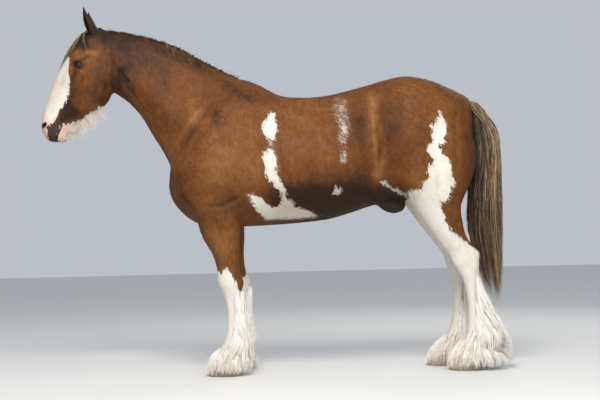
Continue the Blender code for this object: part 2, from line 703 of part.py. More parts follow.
def tube(name, points, radius, sides=6):
    """A closed tube through points, its rings square to the path."""
    bm = bmesh.new()
    rings = []
    for i, p in enumerate(points):
        ahead = points[min(i + 1, len(points) - 1)] - points[max(i - 1, 0)]
        one = ahead.orthogonal().normalized() if i == 0 else one
        one = (one - one.project(ahead)).normalized()
        two = ahead.normalized().cross(one)
        turns = [2 * math.pi * k / sides for k in range(sides)]
        rings.append([p + radius * (math.cos(a) * one + math.sin(a) * two) for a in turns])
    skin_rings(bm, rings)
    return add_object(name, bm)


def surface_tree(*objects):
    bm = bmesh.new()
    for obj in objects:
        bm.from_mesh(obj.data)
    tree = BVHTree.FromBMesh(bm)
    bm.free()
    return tree


def make_ear(name, side):
    """A cupped ear: a C-shaped wall that is almost closed at the base and flat at the tip."""
    base = Vector((EAR_BASE[0], side * EAR_BASE[1], EAR_BASE[2]))
    tip = Vector((EAR_TIP[0], side * EAR_TIP[1], EAR_TIP[2]))
    axis = (tip - base).normalized()
    opens = Vector((EAR_OPENS[0], side * EAR_OPENS[1], EAR_OPENS[2]))
    opens = (opens - opens.project(axis)).normalized()
    across = axis.cross(opens)
    # Share of the length, half width, half depth, and half the arc of the wall in degrees.
    rows = [
        (0.00, 0.028, 0.031, 156),
        (0.20, 0.034, 0.031, 142),
        (0.45, 0.036, 0.024, 122),
        (0.68, 0.029, 0.018, 110),
        (0.87, 0.015, 0.010, 102),
        (1.00, 0.004, 0.005, 98),
    ]
    count = 7
    bm = bmesh.new()
    rings = []
    for share, wide, deep, arc in through(rows, 1):
        middle = base + (tip - base) * share + opens * 0.012 * math.sin(math.pi * share)
        turns = np.radians(np.linspace(-arc, arc, count))
        wall = EAR_WALL * (1 - 0.55 * share)
        outer = [middle - opens * math.cos(a) * deep + across * math.sin(a) * wide for a in turns]
        wide, deep = wide - wall, deep - wall
        inner = [middle - opens * math.cos(a) * deep + across * math.sin(a) * wide for a in turns]
        rings.append(outer + inner[::-1])
    skin_rings(bm, rings)
    return add_object(name, bm)


def paint(objects, finish):
    for obj in objects:
        obj.data.materials.clear()
        obj.data.materials.append(finish)
        obj.data.shade_smooth()
        obj.data.set_sharp_from_angle(angle=math.radians(40))


def lock(path, outward, half_width, half_thick):
    """One flat lock along the path: diamond sections that end in a point."""
    points = [Vector(p) for p in path]
    bm = bmesh.new()
    rings = []
    last = len(points) - 1
    for i in range(last):
        share = i / last
        ahead = points[i + 1] - points[max(i - 1, 0)]
        out = Vector(outward[i])
        across = ahead.cross(out).normalized()
        out = across.cross(ahead).normalized()
        wide = half_width * (0.45 + 1.15 * share**0.6) * (1 - share**2.2)
        thick = half_thick * (1 - 0.6 * share)
        corners = (across * wide, out * thick, -across * wide, -out * thick)
        rings.append([bm.verts.new(points[i] + c) for c in corners])
    for one, two in zip(rings, rings[1:]):
        for k in range(4):
            bm.faces.new((one[k], one[(k + 1) % 4], two[(k + 1) % 4], two[k]))
    tip = bm.verts.new(points[last])
    for k in range(4):
        bm.faces.new((rings[-1][k], rings[-1][(k + 1) % 4], tip))
    bm.faces.new(rings[0][::-1])
    bmesh.ops.triangulate(bm, faces=bm.faces)
    return add_object("lock", bm)


def fuse_locks(part, locks):
    """Joins locks to their part; EXACT leaves open edges where so many of them cross."""
    boolean(part, locks, "UNION", solver="MANIFOLD")
    keep_largest(part)


def side_point(tree, x, y, z, off):
    """The skin beside (x, z), met from far out on the side that y names, and moved off it."""
    hit = tree.ray_cast(Vector((x, 3 * y, z)), Vector((0, -y, 0)))[0]
    away = hit if hit else Vector((x, 0, z))
    return away + Vector((0, math.copysign(off, y), 0))


def mane_locks(neck, others, chance):
    """The mane: rooted along the crest, it falls to the right, with some wisps to the left."""
    tree = surface_tree(neck, *others)
    locks = []
    for k in range(MANE_LOCKS):
        share = (k + 0.5) / MANE_LOCKS
        x = MANE_FRONT + (MANE_BACK - MANE_FRONT) * share + chance.uniform(-0.006, 0.006)
        crest = tree.ray_cast(Vector((x, 0, 3)), Vector((0, 0, -1)))[0]
        fall = MANE_LENGTH * (1 - 0.45 * share**3) * chance.uniform(0.84, 1.12)
        lean = -0.10 * fall + chance.uniform(-0.02, 0.02)
        path = [crest + Vector((0.004, -0.006, -0.040)), crest + Vector((0, 0.006, 0.003))]
        outward = [(0, -0.2, 1), (0, 0.4, 1)]
        for s, off in ((0.33, 0.009), (0.68, 0.011), (1.0, 0.006)):
            x_here = x + lean * s
            path.append(side_point(tree, x_here, 0.3, crest.z - fall * s, off))
            outward.append((0, 1, 0.25))
        locks.append(lock(path, outward, chance.uniform(0.021, 0.027), 0.0045))
    for k in range(MANE_WISPS):
        share = (k + 0.5) / MANE_WISPS
        x = MANE_FRONT + (MANE_BACK - MANE_FRONT) * share + chance.uniform(-0.02, 0.02)
        crest = tree.ray_cast(Vector((x, 0, 3)), Vector((0, 0, -1)))[0]
        fall = chance.uniform(0.05, 0.09)
        path = [crest + Vector((0, 0.008, -0.030)), crest + Vector((0.004, -0.004, 0.008))]
        path.append(side_point(tree, x + 0.012, -0.3, crest.z - fall * 0.55, 0.007))
        path.append(side_point(tree, x + 0.020, -0.3, crest.z - fall, 0.004))
        outward = [(0, 0.5, 1), (0, -0.3, 1), (0, -1, 0.3), (0, -1, 0.3)]
        locks.append(lock(path, outward, 0.014, 0.0035))
    return locks


def face_point(tree, along, y, off):
    """A point off the front of the face, so far along from the poll to the nose."""
    start = POLL + FACE * along - JAW * 0.4 + Vector((0, y, 0))
    hit = tree.ray_cast(start, JAW)[0]
    return hit - JAW * off


def jaw_point(tree, along, y, off):
    start = POLL + FACE * along + JAW * 0.5 + Vector((0, y, 0))
    hit = tree.ray_cast(start, -JAW)[0]
    return hit + JAW * off


def forelock_locks(head, chance):
    """The forelock: from the poll, between the ears, down the forehead."""
    tree = surface_tree(head)
    locks = []
    for k in range(FORELOCK_LOCKS):
        share = k / (FORELOCK_LOCKS - 1)
        root, tip = -0.012 + 0.024 * share, -0.062 + 0.110 * share
        length = FORELOCK_LENGTH * chance.uniform(0.8, 1.1)
        steps = ((0.02, -0.022), (0.03, 0.010), (0.40, 0.009), (0.72, 0.009), (1.0, 0.004))
        path = []
        for s, off in steps:
            y = root + (tip - root) * s**1.2
            path.append(face_point(tree, length * s, y, off))
        outward = [-JAW] * len(path)
        locks.append(lock(path, outward, 0.0125, 0.004))
    return locks


def beard_locks(head, chance):
    """The beard: two ragged rows under the jaw, hanging from chin to cheek."""
    tree = surface_tree(head)
    locks = []
    for k in range(BEARD_LOCKS):
        share = (k + 0.5) / BEARD_LOCKS
        along = BEARD_BACK + (BEARD_FRONT - BEARD_BACK) * share
        y = (-0.016 if k % 2 else 0.016) + chance.uniform(-0.004, 0.004)
        fullness = 0.75 + 0.5 * math.sin(math.pi * share)
        length = BEARD_LENGTH * chance.uniform(0.72, 1.20) * fullness
        root = jaw_point(tree, along, y, -0.016)
        lean = chance.uniform(-0.30, 0.25)
        hang = (JAW * 0.30 + Vector((0.10 + lean, y * 2, -0.95))).normalized()
        path = [root, root + JAW * 0.020 + hang * length * 0.12]
        path.append(path[1] + hang * length * 0.42 + JAW * 0.004)
        path.append(path[1] + hang * length * 0.90 + JAW * 0.012)
        side = Vector((0, math.copysign(1, y), 0))
        locks.append(lock(path, [side] * 4, chance.uniform(0.024, 0.032), 0.0050))
    return locks


def leg_outline(stance, angle, height):
    """A point on the leg's outline at an angle from its front, and the way out of it."""
    rows = leg_rows(stance)
    heights = [-(r.z1 + r.z2) / 2 for r in rows]
    front, back, half = (
        float(np.interp(-height, heights, [getattr(r, key) for r in rows]))
        for key in ("x1", "x2", "half")
    )
    way = Vector((-math.cos(angle), stance.side * math.sin(angle), 0))
    middle = Vector(((front + back) / 2, stance.side * stance.foot_y, height))
    size = Vector(((back - front) / 2, half, 0))
    return middle + Vector((way.x * size.x, way.y * size.y, 0)), way


def feather_reach(stance, angle, height):
    """How far the feather stands out of the leg there, from its front, side and back."""
    back_table = FORE_FEATHER_BACK if stance.rows is FORELEG else HIND_FEATHER_BACK
    tables = (FEATHER_FRONT, FEATHER_SIDE, back_table)
    ahead = math.cos(angle)
    weights = (max(ahead, 0) ** 2, 1 - ahead**2, max(-ahead, 0) ** 2)
    return sum(w * float(np.interp(height, FEATHER_HEIGHTS, t)) for w, t in zip(weights, tables))


def feather_lock(stance, angle, top, tip, chance, half_width):
    path, outward = [], []
    swing = math.radians(chance.uniform(-7, 7))
    fullness = chance.uniform(0.90, 1.04)
    behind = max(-math.cos(angle), 0)
    twist = Matrix.Rotation(behind * chance.choice((-0.9, -0.6, 0.6, 0.9)), 3, "Z")
    steps = ((0.0, -0.016), (0.16, 0.55), (0.45, 0.85), (0.75, 0.98), (1.0, 1.0))
    if top < 0.2:
        steps = ((0.0, -0.016), (0.25, 0.70), (0.62, 0.95), (1.0, 1.0))
    for s, off in steps:
        height = top + (tip - top) * s
        here = angle + swing * s
        point, way = leg_outline(stance, here, height)
        reach = feather_reach(stance, here, height)
        push = off if off < 0 else off * reach * fullness + 0.004
        path.append(point + way * push)
        outward.append(twist @ way + Vector((0, 0, 0.5)))
    return lock(path, outward, half_width, 0.0055)


def feather_core(stance):
    """The dense hair under the locks, which reaches part of the way to their tips."""
    bm = bmesh.new()
    rings = []
    for height in FEATHER_CORE_HEIGHTS:
        points = []
        for k in range(12):
            angle = 2 * math.pi * k / 12
            point, way = leg_outline(stance, angle, height)
            backward = max(-math.cos(angle), 0) ** 1.5
            reach = FEATHER_CORE * feather_reach(stance, angle, height)
            points.append(point + way * (backward * reach - (1 - backward) * 0.008 - 0.004))
        rings.append(points)
    skin_rings(bm, rings)
    bmesh.ops.triangulate(bm, faces=bm.faces)
    return add_object("core", bm)


def feather_locks(stance, chance):
    """The feather: rows of locks down the back and sides that spread over the hoof."""
    rise = 0.0 if stance.rows is FORELEG else 0.045
    locks = [feather_core(stance)]
    for row in FEATHER_ROWS:
        for k in range(row.count):
            degrees = row.first + (360 - 2 * row.first) * (k + 0.5) / row.count
            angle = math.radians(degrees + chance.uniform(-5, 5))
            top = row.top + rise * row.rise + chance.uniform(-0.014, 0.014)
            tip = max(row.tip + chance.uniform(-0.012, 0.016), FLOOR_CLEARANCE)
            locks.append(feather_lock(stance, angle, top, tip, chance, row.half_width))
    return locks


def tail_ring(height):
    """The tail's outline at a height: its front, back and half width."""
    heights = [-row[0] for row in TAIL_OUTLINE]
    return [float(np.interp(-height, heights, [r[i] for r in TAIL_OUTLINE])) for i in (1, 2, 3)]


def make_tail(torso, chance):
    """The dock, and locks that hang from it to the tail's tip."""
    bm = bmesh.new()
    loft(bm, TAIL_DOCK, around=10, steps=2)
    tail = add_object("tail", bm)
    locks = []
    for k in range(TAIL_LOCKS):
        angle = 2 * math.pi * (k * 0.381966 % 1.0)
        level = (k + 0.5) / TAIL_LOCKS
        root_z = TAIL_ROOT_TOP + (TAIL_ROOT_LOW - TAIL_ROOT_TOP) * (level**0.8)
        tip_z = TAIL_TIP + (1 - level) * 0.16 + chance.uniform(0.0, 0.17)
        if k >= TAIL_LOCKS - 3:
            tip_z = TAIL_TIP + 0.02 * (TAIL_LOCKS - 1 - k)
        way = Vector((math.cos(angle), math.sin(angle), 0))
        path, outward = [], []
        for s in (0.0, 0.08, 0.28, 0.5, 0.72, 0.88, 1.0):
            z = root_z + (tip_z - root_z) * s
            front, back, half = tail_ring(z)
            half *= TAIL_FULLNESS
            share = (0.10, 0.62, 0.80, 0.80, 0.74, 0.60, 0.35)[len(path)]
            middle = (front + back) / 2 + 0.10 * (back - front) * s
            x = middle + way.x * (back - front) / 2 * share
            path.append((x, way.y * half * share, z))
            outward.append(way)
        locks.append(lock(path, outward, chance.uniform(0.024, 0.032), 0.0070))
    fuse_locks(tail, locks)
    cut_clear(tail, torso)
    return tail


def make_head_features(head):
    """Lids, nostrils and the groove where the lips meet."""
    for side in (-1, 1):
        open_lids(head, side)
    open_nostrils(head)
    lips = tube("lips", mouth_points(surface_tree(head)), MOUTH_GROOVE)
    boolean(head, [lips], "DIFFERENCE")
    keep_largest(head)


def add_hair(parts, chance):
    """Fuses mane, forelock, beard and feather with what they grow from."""
    neck, head, torso = parts["neck"], parts["head"], parts["torso"]
    fuse_locks(neck, mane_locks(neck, [torso], chance))
    cut_clear(neck, torso)
    fuse_locks(head, forelock_locks(head, chance) + beard_locks(head, chance))
    cut_clear(head, neck)
    for name, stance in LEGS.items():
        leg, side = name.split("_")
        fuse_locks(parts[f"{leg}leg_{side}_lower"], feather_locks(stance, chance))


def main():
    clear_scene()
    coat = material("chestnut_coat", (0.23, 0.095, 0.045), 0.55)
    white = material("white_coat", (0.80, 0.77, 0.72), 0.70)
    dark_hair = material("tail_hair", (0.13, 0.08, 0.05), 0.60)
    horn = material("hoof_horn", (0.42, 0.33, 0.25), 0.45)
    wet = material("eye_dark", (0.02, 0.012, 0.008), 0.05)
    chance = random.Random(SEED)

    parts = make_flesh()
    make_head_features(parts["head"])
    add_hair(parts, chance)
    eyes = [make_eye("eye_left", -1), make_eye("eye_right", 1)]
    ears = [make_ear("ear_left", -1), make_ear("ear_right", 1)]
    for ear in ears:
        cut_clear(ear, parts["head"])
        cut_clear(ear, parts["neck"])
    hooves = []
    for name, stance in LEGS.items():
        leg, side = name.split("_")
        hooves.append(make_hoof(f"hoof_{name}", stance))
        cut_clear(parts[f"{leg}leg_{side}_lower"], hooves[-1])
    tail = make_tail(parts["torso"], chance)

    triangulate_all([*parts.values(), *hooves, *eyes, *ears, tail])
    paint([part for name, part in parts.items() if "lower" in name], white)
    paint([part for name, part in parts.items() if "lower" not in name] + ears, coat)
    paint([tail], dark_hair)
    paint(hooves, horn)
    paint(eyes, wet)


main()
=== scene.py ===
"""A Clydesdale horse at life size: its skin, coat, long hair, eyes and hooves."""

import math
import random
from collections import namedtuple

import bmesh
import bpy
import numpy as np
from mathutils import Matrix, Vector
from mathutils.bvhtree import BVHTree


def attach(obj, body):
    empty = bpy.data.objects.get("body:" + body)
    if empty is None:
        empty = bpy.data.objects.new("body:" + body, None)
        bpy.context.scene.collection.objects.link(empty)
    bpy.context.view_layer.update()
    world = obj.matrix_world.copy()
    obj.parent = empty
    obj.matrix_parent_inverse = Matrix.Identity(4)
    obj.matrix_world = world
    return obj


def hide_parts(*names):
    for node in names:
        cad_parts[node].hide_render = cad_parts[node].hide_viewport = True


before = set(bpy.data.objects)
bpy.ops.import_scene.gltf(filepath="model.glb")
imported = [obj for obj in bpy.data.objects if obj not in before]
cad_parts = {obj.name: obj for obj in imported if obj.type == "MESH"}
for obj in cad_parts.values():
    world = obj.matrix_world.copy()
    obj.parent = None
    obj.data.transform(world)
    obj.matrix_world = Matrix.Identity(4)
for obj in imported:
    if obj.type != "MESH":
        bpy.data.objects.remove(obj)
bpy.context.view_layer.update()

# The camera stands on the horse's left, a little lower than its belly, 6.5 m from its
# middle plane. The lens is long, is shifted up a little and leans with the slope of the ground.
CAMERA_PLACE = (0.1436, -6.5, 0.7219)
CAMERA_LEAN = 1.375
CAMERA_LENS = 65
CAMERA_SENSOR = 36
CAMERA_SHIFT = 0.0833


def put_in_scene(name, data):
    made = bpy.data.objects.new(name, data)
    bpy.context.scene.collection.objects.link(made)
    return made


camera_data = bpy.data.cameras.new("photo_camera")
camera_data.lens = CAMERA_LENS
camera_data.sensor_width = CAMERA_SENSOR
camera_data.shift_y = CAMERA_SHIFT
camera = put_in_scene("photo_camera", camera_data)
lean = Matrix.Rotation(math.radians(CAMERA_LEAN), 4, "Y")
level = Matrix.Rotation(math.radians(90), 4, "X")
camera.matrix_world = Matrix.Translation(CAMERA_PLACE) @ lean @ level
bpy.context.scene.camera = camera
bpy.context.scene.view_settings.view_transform = "Standard"

# The studio: a pale floor that the horse stands on, a large soft key light high over the
# horse's left shoulder, a fill from behind the camera and a rim light from behind the horse.
FLOOR_COLOUR = (0.72, 0.72, 0.70)
FLOOR_MOTTLE = 0.95
SKY_COLOUR = (0.86, 0.90, 0.98)
SKY_STRENGTH = 0.58


def add_object(name, bm):
    """Turns a bmesh into an object of the scene, with its faces pointing out."""
    bmesh.ops.recalc_face_normals(bm, faces=bm.faces)
    mesh = bpy.data.meshes.new(name)
    bm.to_mesh(mesh)
    bm.free()
    return put_in_scene(name, mesh)


def fill(tree, socket, value):
    """Links a socket to another one, or gives it a value."""
    if isinstance(value, bpy.types.NodeSocket):
        tree.links.new(value, socket)
    else:
        socket.default_value = value


def add_node(tree, kind, links=(), **settings):
    """Adds a node, sets its properties and fills its sockets by name, or by place in the list."""
    node = tree.nodes.new(kind)
    for key, value in settings.items():
        setattr(node, key, value)
    for key, value in dict(links).items():
        fill(tree, node.inputs[key], value)
    return node


def object_place(tree):
    return add_node(tree, "ShaderNodeTexCoord").outputs["Object"]


def stretched(tree, place, size):
    return add_node(tree, "ShaderNodeMapping", {"Vector": place, "Scale": size}).outputs[0]


def noise(tree, place, scale, detail=3.0, rough=0.55, squash=None):
    """A noise pattern, drawn out along an axis where the squash is less than 1."""
    if squash:
        place = stretched(tree, place, squash)
    links = {"Vector": place, "Scale": scale, "Detail": detail, "Roughness": rough}
    return add_node(tree, "ShaderNodeTexNoise", links).outputs["Fac"]


def mix_colours(tree, share, one, two, blend="MIX"):
    links = {0: share, 6: one, 7: two}
    return add_node(tree, "ShaderNodeMix", links, data_type="RGBA", blend_type=blend).outputs[2]


def new_material(name, roughness=0.5, **sockets):
    """A material with its Principled shader; the sockets are named as on the shader."""
    made = bpy.data.materials.new(name)
    made.use_nodes = True
    shader = made.node_tree.nodes["Principled BSDF"]
    shader.inputs["Roughness"].default_value = roughness
    for key, value in sockets.items():
        shader.inputs[key.replace("_", " ")].default_value = value
    return made, made.node_tree, shader


def feed(tree, shader, **values):
    """Links what changes over the surface to the shader's sockets, named as on the shader."""
    for key, value in values.items():
        tree.links.new(value, shader.inputs[key.replace("_", " ")])


def add_light(name, energy, colour, size, place, target):
    """A round area light that faces a target."""
    data = bpy.data.lights.new(name, "AREA")
    data.shape = "DISK"
    data.energy, data.color, data.size = energy, colour, size
    lamp = put_in_scene(name, data)
    lamp.location = place
    lamp.rotation_euler = (Vector(target) - Vector(place)).to_track_quat("-Z", "Y").to_euler()


floor_mesh = bmesh.new()
bmesh.ops.create_grid(floor_mesh, x_segments=8, y_segments=8, size=30)
floor = add_object("studio_floor", floor_mesh)
floor_material, nodes, shader = new_material("floor_paint", 0.85)
mottle = noise(nodes, object_place(nodes), 3.0, 4.0, 0.5)
darker = [c * FLOOR_MOTTLE for c in FLOOR_COLOUR]
feed(nodes, shader, Base_Color=mix_colours(nodes, mottle, (*FLOOR_COLOUR, 1), (*darker, 1)))
floor.data.materials.append(floor_material)

add_light("key_light", 330, (1.0, 0.96, 0.90), 2.6, (-0.2, -4.3, 4.9), (0.0, 0.0, 1.2))
add_light("fill_light", 95, (0.90, 0.95, 1.0), 5.0, (1.5, -6.5, 2.4), (0.0, 0.0, 1.0))
add_light("rim_light", 55, (1.0, 0.98, 0.95), 3.0, (2.5, 4.5, 4.0), (0.0, 0.0, 1.3))
world = bpy.data.worlds.new("studio")
world.use_nodes = True
sky = world.node_tree.nodes["Background"].inputs
sky["Color"].default_value = (*SKY_COLOUR, 1)
sky["Strength"].default_value = SKY_STRENGTH
bpy.context.scene.world = world

# The body under the coat: one continuous skin from muzzle to coronets, with its muscles,
# bony points and folds. It is lofted through cross sections at named stations, fused and
# smoothed, and lies a coat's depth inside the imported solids.

# A cross section: its upper (or front) point and its lower (or back) point, its half width,
# how far down the widest place lies as a share, how square its upper and lower halves are,
# where 2 is an ellipse, and the y of its middle.
Section = namedtuple("Section", "x1 z1 x2 z2 half wide n1 n2 y", defaults=(0.0,))
TORSO = [Section(*row) for row in (
    (-0.605, 1.300, -0.590, 1.050, 0.060, 0.50, 2.0, 2.0),
    (-0.585, 1.400, -0.575, 0.985, 0.170, 0.50, 2.0, 2.1),
    (-0.530, 1.480, -0.520, 0.925, 0.240, 0.50, 2.0, 2.2),
    (-0.440, 1.590, -0.440, 0.885, 0.278, 0.55, 1.9, 2.2),
    (-0.320, 1.700, -0.330, 0.868, 0.292, 0.56, 1.8, 2.2),
    (-0.200, 1.756, -0.200, 0.868, 0.298, 0.57, 1.75, 2.2),
    (-0.080, 1.720, -0.080, 0.870, 0.310, 0.57, 1.8, 2.2),
    (0.045, 1.652, 0.045, 0.875, 0.332, 0.56, 2.0, 2.2),
    (0.180, 1.634, 0.180, 0.884, 0.350, 0.55, 2.15, 2.2),
    (0.320, 1.641, 0.320, 0.900, 0.357, 0.54, 2.2, 2.2),
    (0.450, 1.668, 0.450, 0.934, 0.350, 0.52, 2.2, 2.2),
    (0.560, 1.696, 0.560, 0.968, 0.332, 0.50, 2.15, 2.2),
    (0.670, 1.726, 0.670, 0.998, 0.318, 0.46, 2.15, 2.1),
    (0.785, 1.744, 0.785, 1.010, 0.318, 0.44, 2.25, 2.1),
    (0.900, 1.723, 0.890, 1.010, 0.315, 0.45, 2.3, 2.1),
    (1.010, 1.684, 1.000, 1.030, 0.290, 0.45, 2.3, 2.2),
    (1.105, 1.645, 1.095, 1.080, 0.235, 0.45, 2.2, 2.2),
    (1.165, 1.612, 1.160, 1.150, 0.160, 0.45, 2.1, 2.1),
    (1.192, 1.560, 1.192, 1.260, 0.060, 0.50, 2.0, 2.0),
)]

NECK = [Section(*row) for row in (
    (-1.045, 2.078, -1.000, 1.740, 0.082, 0.45, 2.0, 2.2),
    (-0.965, 2.064, -0.935, 1.680, 0.094, 0.55, 1.8, 2.2),
    (-0.850, 2.043, -0.862, 1.625, 0.104, 0.60, 1.65, 2.2),
    (-0.700, 2.005, -0.785, 1.535, 0.118, 0.62, 1.55, 2.2),
    (-0.555, 1.948, -0.722, 1.425, 0.138, 0.63, 1.55, 2.2),
    (-0.405, 1.862, -0.668, 1.335, 0.170, 0.63, 1.55, 2.2),
    (-0.270, 1.790, -0.622, 1.240, 0.212, 0.62, 1.6, 2.2),
    (-0.160, 1.745, -0.580, 1.120, 0.245, 0.60, 1.7, 2.2),
)]

HEAD = [Section(*row) for row in (
    (-1.020, 2.092, -0.975, 2.050, 0.030, 0.50, 2.0, 2.0),
    (-1.065, 2.074, -0.945, 1.990, 0.070, 0.50, 2.2, 2.0),
    (-1.114, 2.036, -0.933, 1.935, 0.093, 0.42, 2.4, 2.0),
    (-1.160, 1.990, -0.935, 1.874, 0.106, 0.38, 2.5, 2.0),
    (-1.200, 1.938, -0.937, 1.812, 0.113, 0.36, 2.6, 2.0),
    (-1.238, 1.883, -0.945, 1.750, 0.112, 0.36, 2.6, 2.0),
    (-1.268, 1.836, -0.957, 1.692, 0.102, 0.40, 2.6, 2.1),
    (-1.293, 1.789, -0.978, 1.642, 0.093, 0.42, 2.6, 2.1),
    (-1.314, 1.741, -1.016, 1.600, 0.083, 0.42, 2.6, 2.0),
    (-1.334, 1.694, -1.070, 1.570, 0.074, 0.42, 2.6, 2.0),
    (-1.353, 1.646, -1.126, 1.540, 0.067, 0.42, 2.5, 2.0),
    (-1.370, 1.599, -1.172, 1.508, 0.063, 0.42, 2.4, 2.0),
    (-1.383, 1.553, -1.207, 1.476, 0.063, 0.42, 2.3, 2.1),
    (-1.386, 1.509, -1.226, 1.440, 0.067, 0.42, 2.3, 2.2),
    (-1.381, 1.468, -1.236, 1.413, 0.064, 0.45, 2.3, 2.3),
    (-1.371, 1.436, -1.247, 1.398, 0.056, 0.50, 2.2, 2.2),
    (-1.352, 1.412, -1.270, 1.396, 0.036, 0.50, 2.0, 2.0),
)]


def limb(z, front, back, half, y, tilt=0.0):
    """A level section of a leg; tilt raises its front point and lowers its back one."""
    return Section(front, z + tilt, back, z - tilt, half, 0.5, 2.1, 2.1, y)


FORELEG = [limb(*row) for row in (
    (1.060, -0.470, -0.215, 0.060, 0.205),
    (0.960, -0.462, -0.198, 0.082, 0.198),
    (0.880, -0.436, -0.202, 0.088, 0.190),
    (0.790, -0.406, -0.205, 0.080, 0.184),
    (0.705, -0.370, -0.208, 0.069, 0.179),
    (0.640, -0.351, -0.209, 0.060, 0.176),
    (0.585, -0.339, -0.203, 0.062, 0.174),
    (0.530, -0.337, -0.194, 0.063, 0.172),
    (0.482, -0.320, -0.197, 0.055, 0.170),
    (0.435, -0.303, -0.209, 0.046, 0.168),
    (0.350, -0.292, -0.211, 0.042, 0.167),
    (0.265, -0.295, -0.207, 0.045, 0.166),
    (0.215, -0.308, -0.190, 0.056, 0.165),
    (0.175, -0.322, -0.194, 0.057, 0.165, 0.008),
    (0.135, -0.343, -0.220, 0.056, 0.165, 0.016),
    (0.100, -0.366, -0.232, 0.068, 0.165, 0.024),
    (0.060, -0.374, -0.232, 0.070, 0.165, 0.024),
)]

HINDLEG = [limb(*row) for row in (
    (1.480, 0.800, 1.100, 0.080, 0.165),
    (1.350, 0.720, 1.172, 0.132, 0.172),
    (1.220, 0.680, 1.190, 0.148, 0.170),
    (1.110, 0.700, 1.160, 0.146, 0.168),
    (1.020, 0.765, 1.118, 0.130, 0.166),
    (0.950, 0.815, 1.092, 0.110, 0.163),
    (0.870, 0.868, 1.100, 0.092, 0.160),
    (0.790, 0.925, 1.122, 0.078, 0.156),
    (0.725, 0.968, 1.158, 0.068, 0.152),
    (0.670, 1.010, 1.192, 0.062, 0.149),
    (0.610, 1.046, 1.196, 0.062, 0.147),
    (0.545, 1.080, 1.192, 0.058, 0.146),
    (0.460, 1.108, 1.194, 0.049, 0.145),
    (0.350, 1.118, 1.200, 0.047, 0.145),
    (0.270, 1.116, 1.208, 0.050, 0.145),
    (0.215, 1.106, 1.224, 0.061, 0.145),
    (0.175, 1.094, 1.218, 0.060, 0.145, 0.008),
    (0.135, 1.072, 1.192, 0.058, 0.145, 0.016),
    (0.100, 1.048, 1.180, 0.069, 0.145, 0.024),
    (0.060, 1.040, 1.180, 0.071, 0.145, 0.024),
)]

# How far each leg stands behind the tables above, at heights from the foot up.
Stance = namedtuple("Stance", "side rows foot_y foot cannon joint")
FORE_FOOT_Y = 0.165
HIND_FOOT_Y = 0.145
LEGS = {
    "fore_left": Stance(-1, FORELEG, FORE_FOOT_Y, 0.000, 0.000, 0.000),
    "fore_right": Stance(1, FORELEG, FORE_FOOT_Y, 0.012, 0.030, 0.008),
    "hind_left": Stance(-1, HINDLEG, HIND_FOOT_Y, 0.000, 0.000, 0.000),
    "hind_right": Stance(1, HINDLEG, HIND_FOOT_Y, -0.100, -0.030, 0.012),
}
STANCE_HEIGHTS = (0.0, 0.45, 0.70, 1.00)

COAT_DEPTH = 0.0035
SKIN_GRAIN = 0.0125
SKIN_SMOOTHINGS = 9
HEAD_START = Vector((-1.055, 0.0, 2.053))
FACE_WAY = Vector((-0.426, 0.0, -0.905))
JAW_WAY = Vector((0.905, 0.0, -0.426))
EYE_RADIUS = 0.0235
EYE_CENTRE = Vector((-1.137, 0.096, 1.849))
EYE_SIGHT = Vector((-0.30, 0.95, 0.05))
EYE_SLIT = Vector((-0.80, 0.0, -0.60))
LID_OPENING = (0.0200, 0.0125)

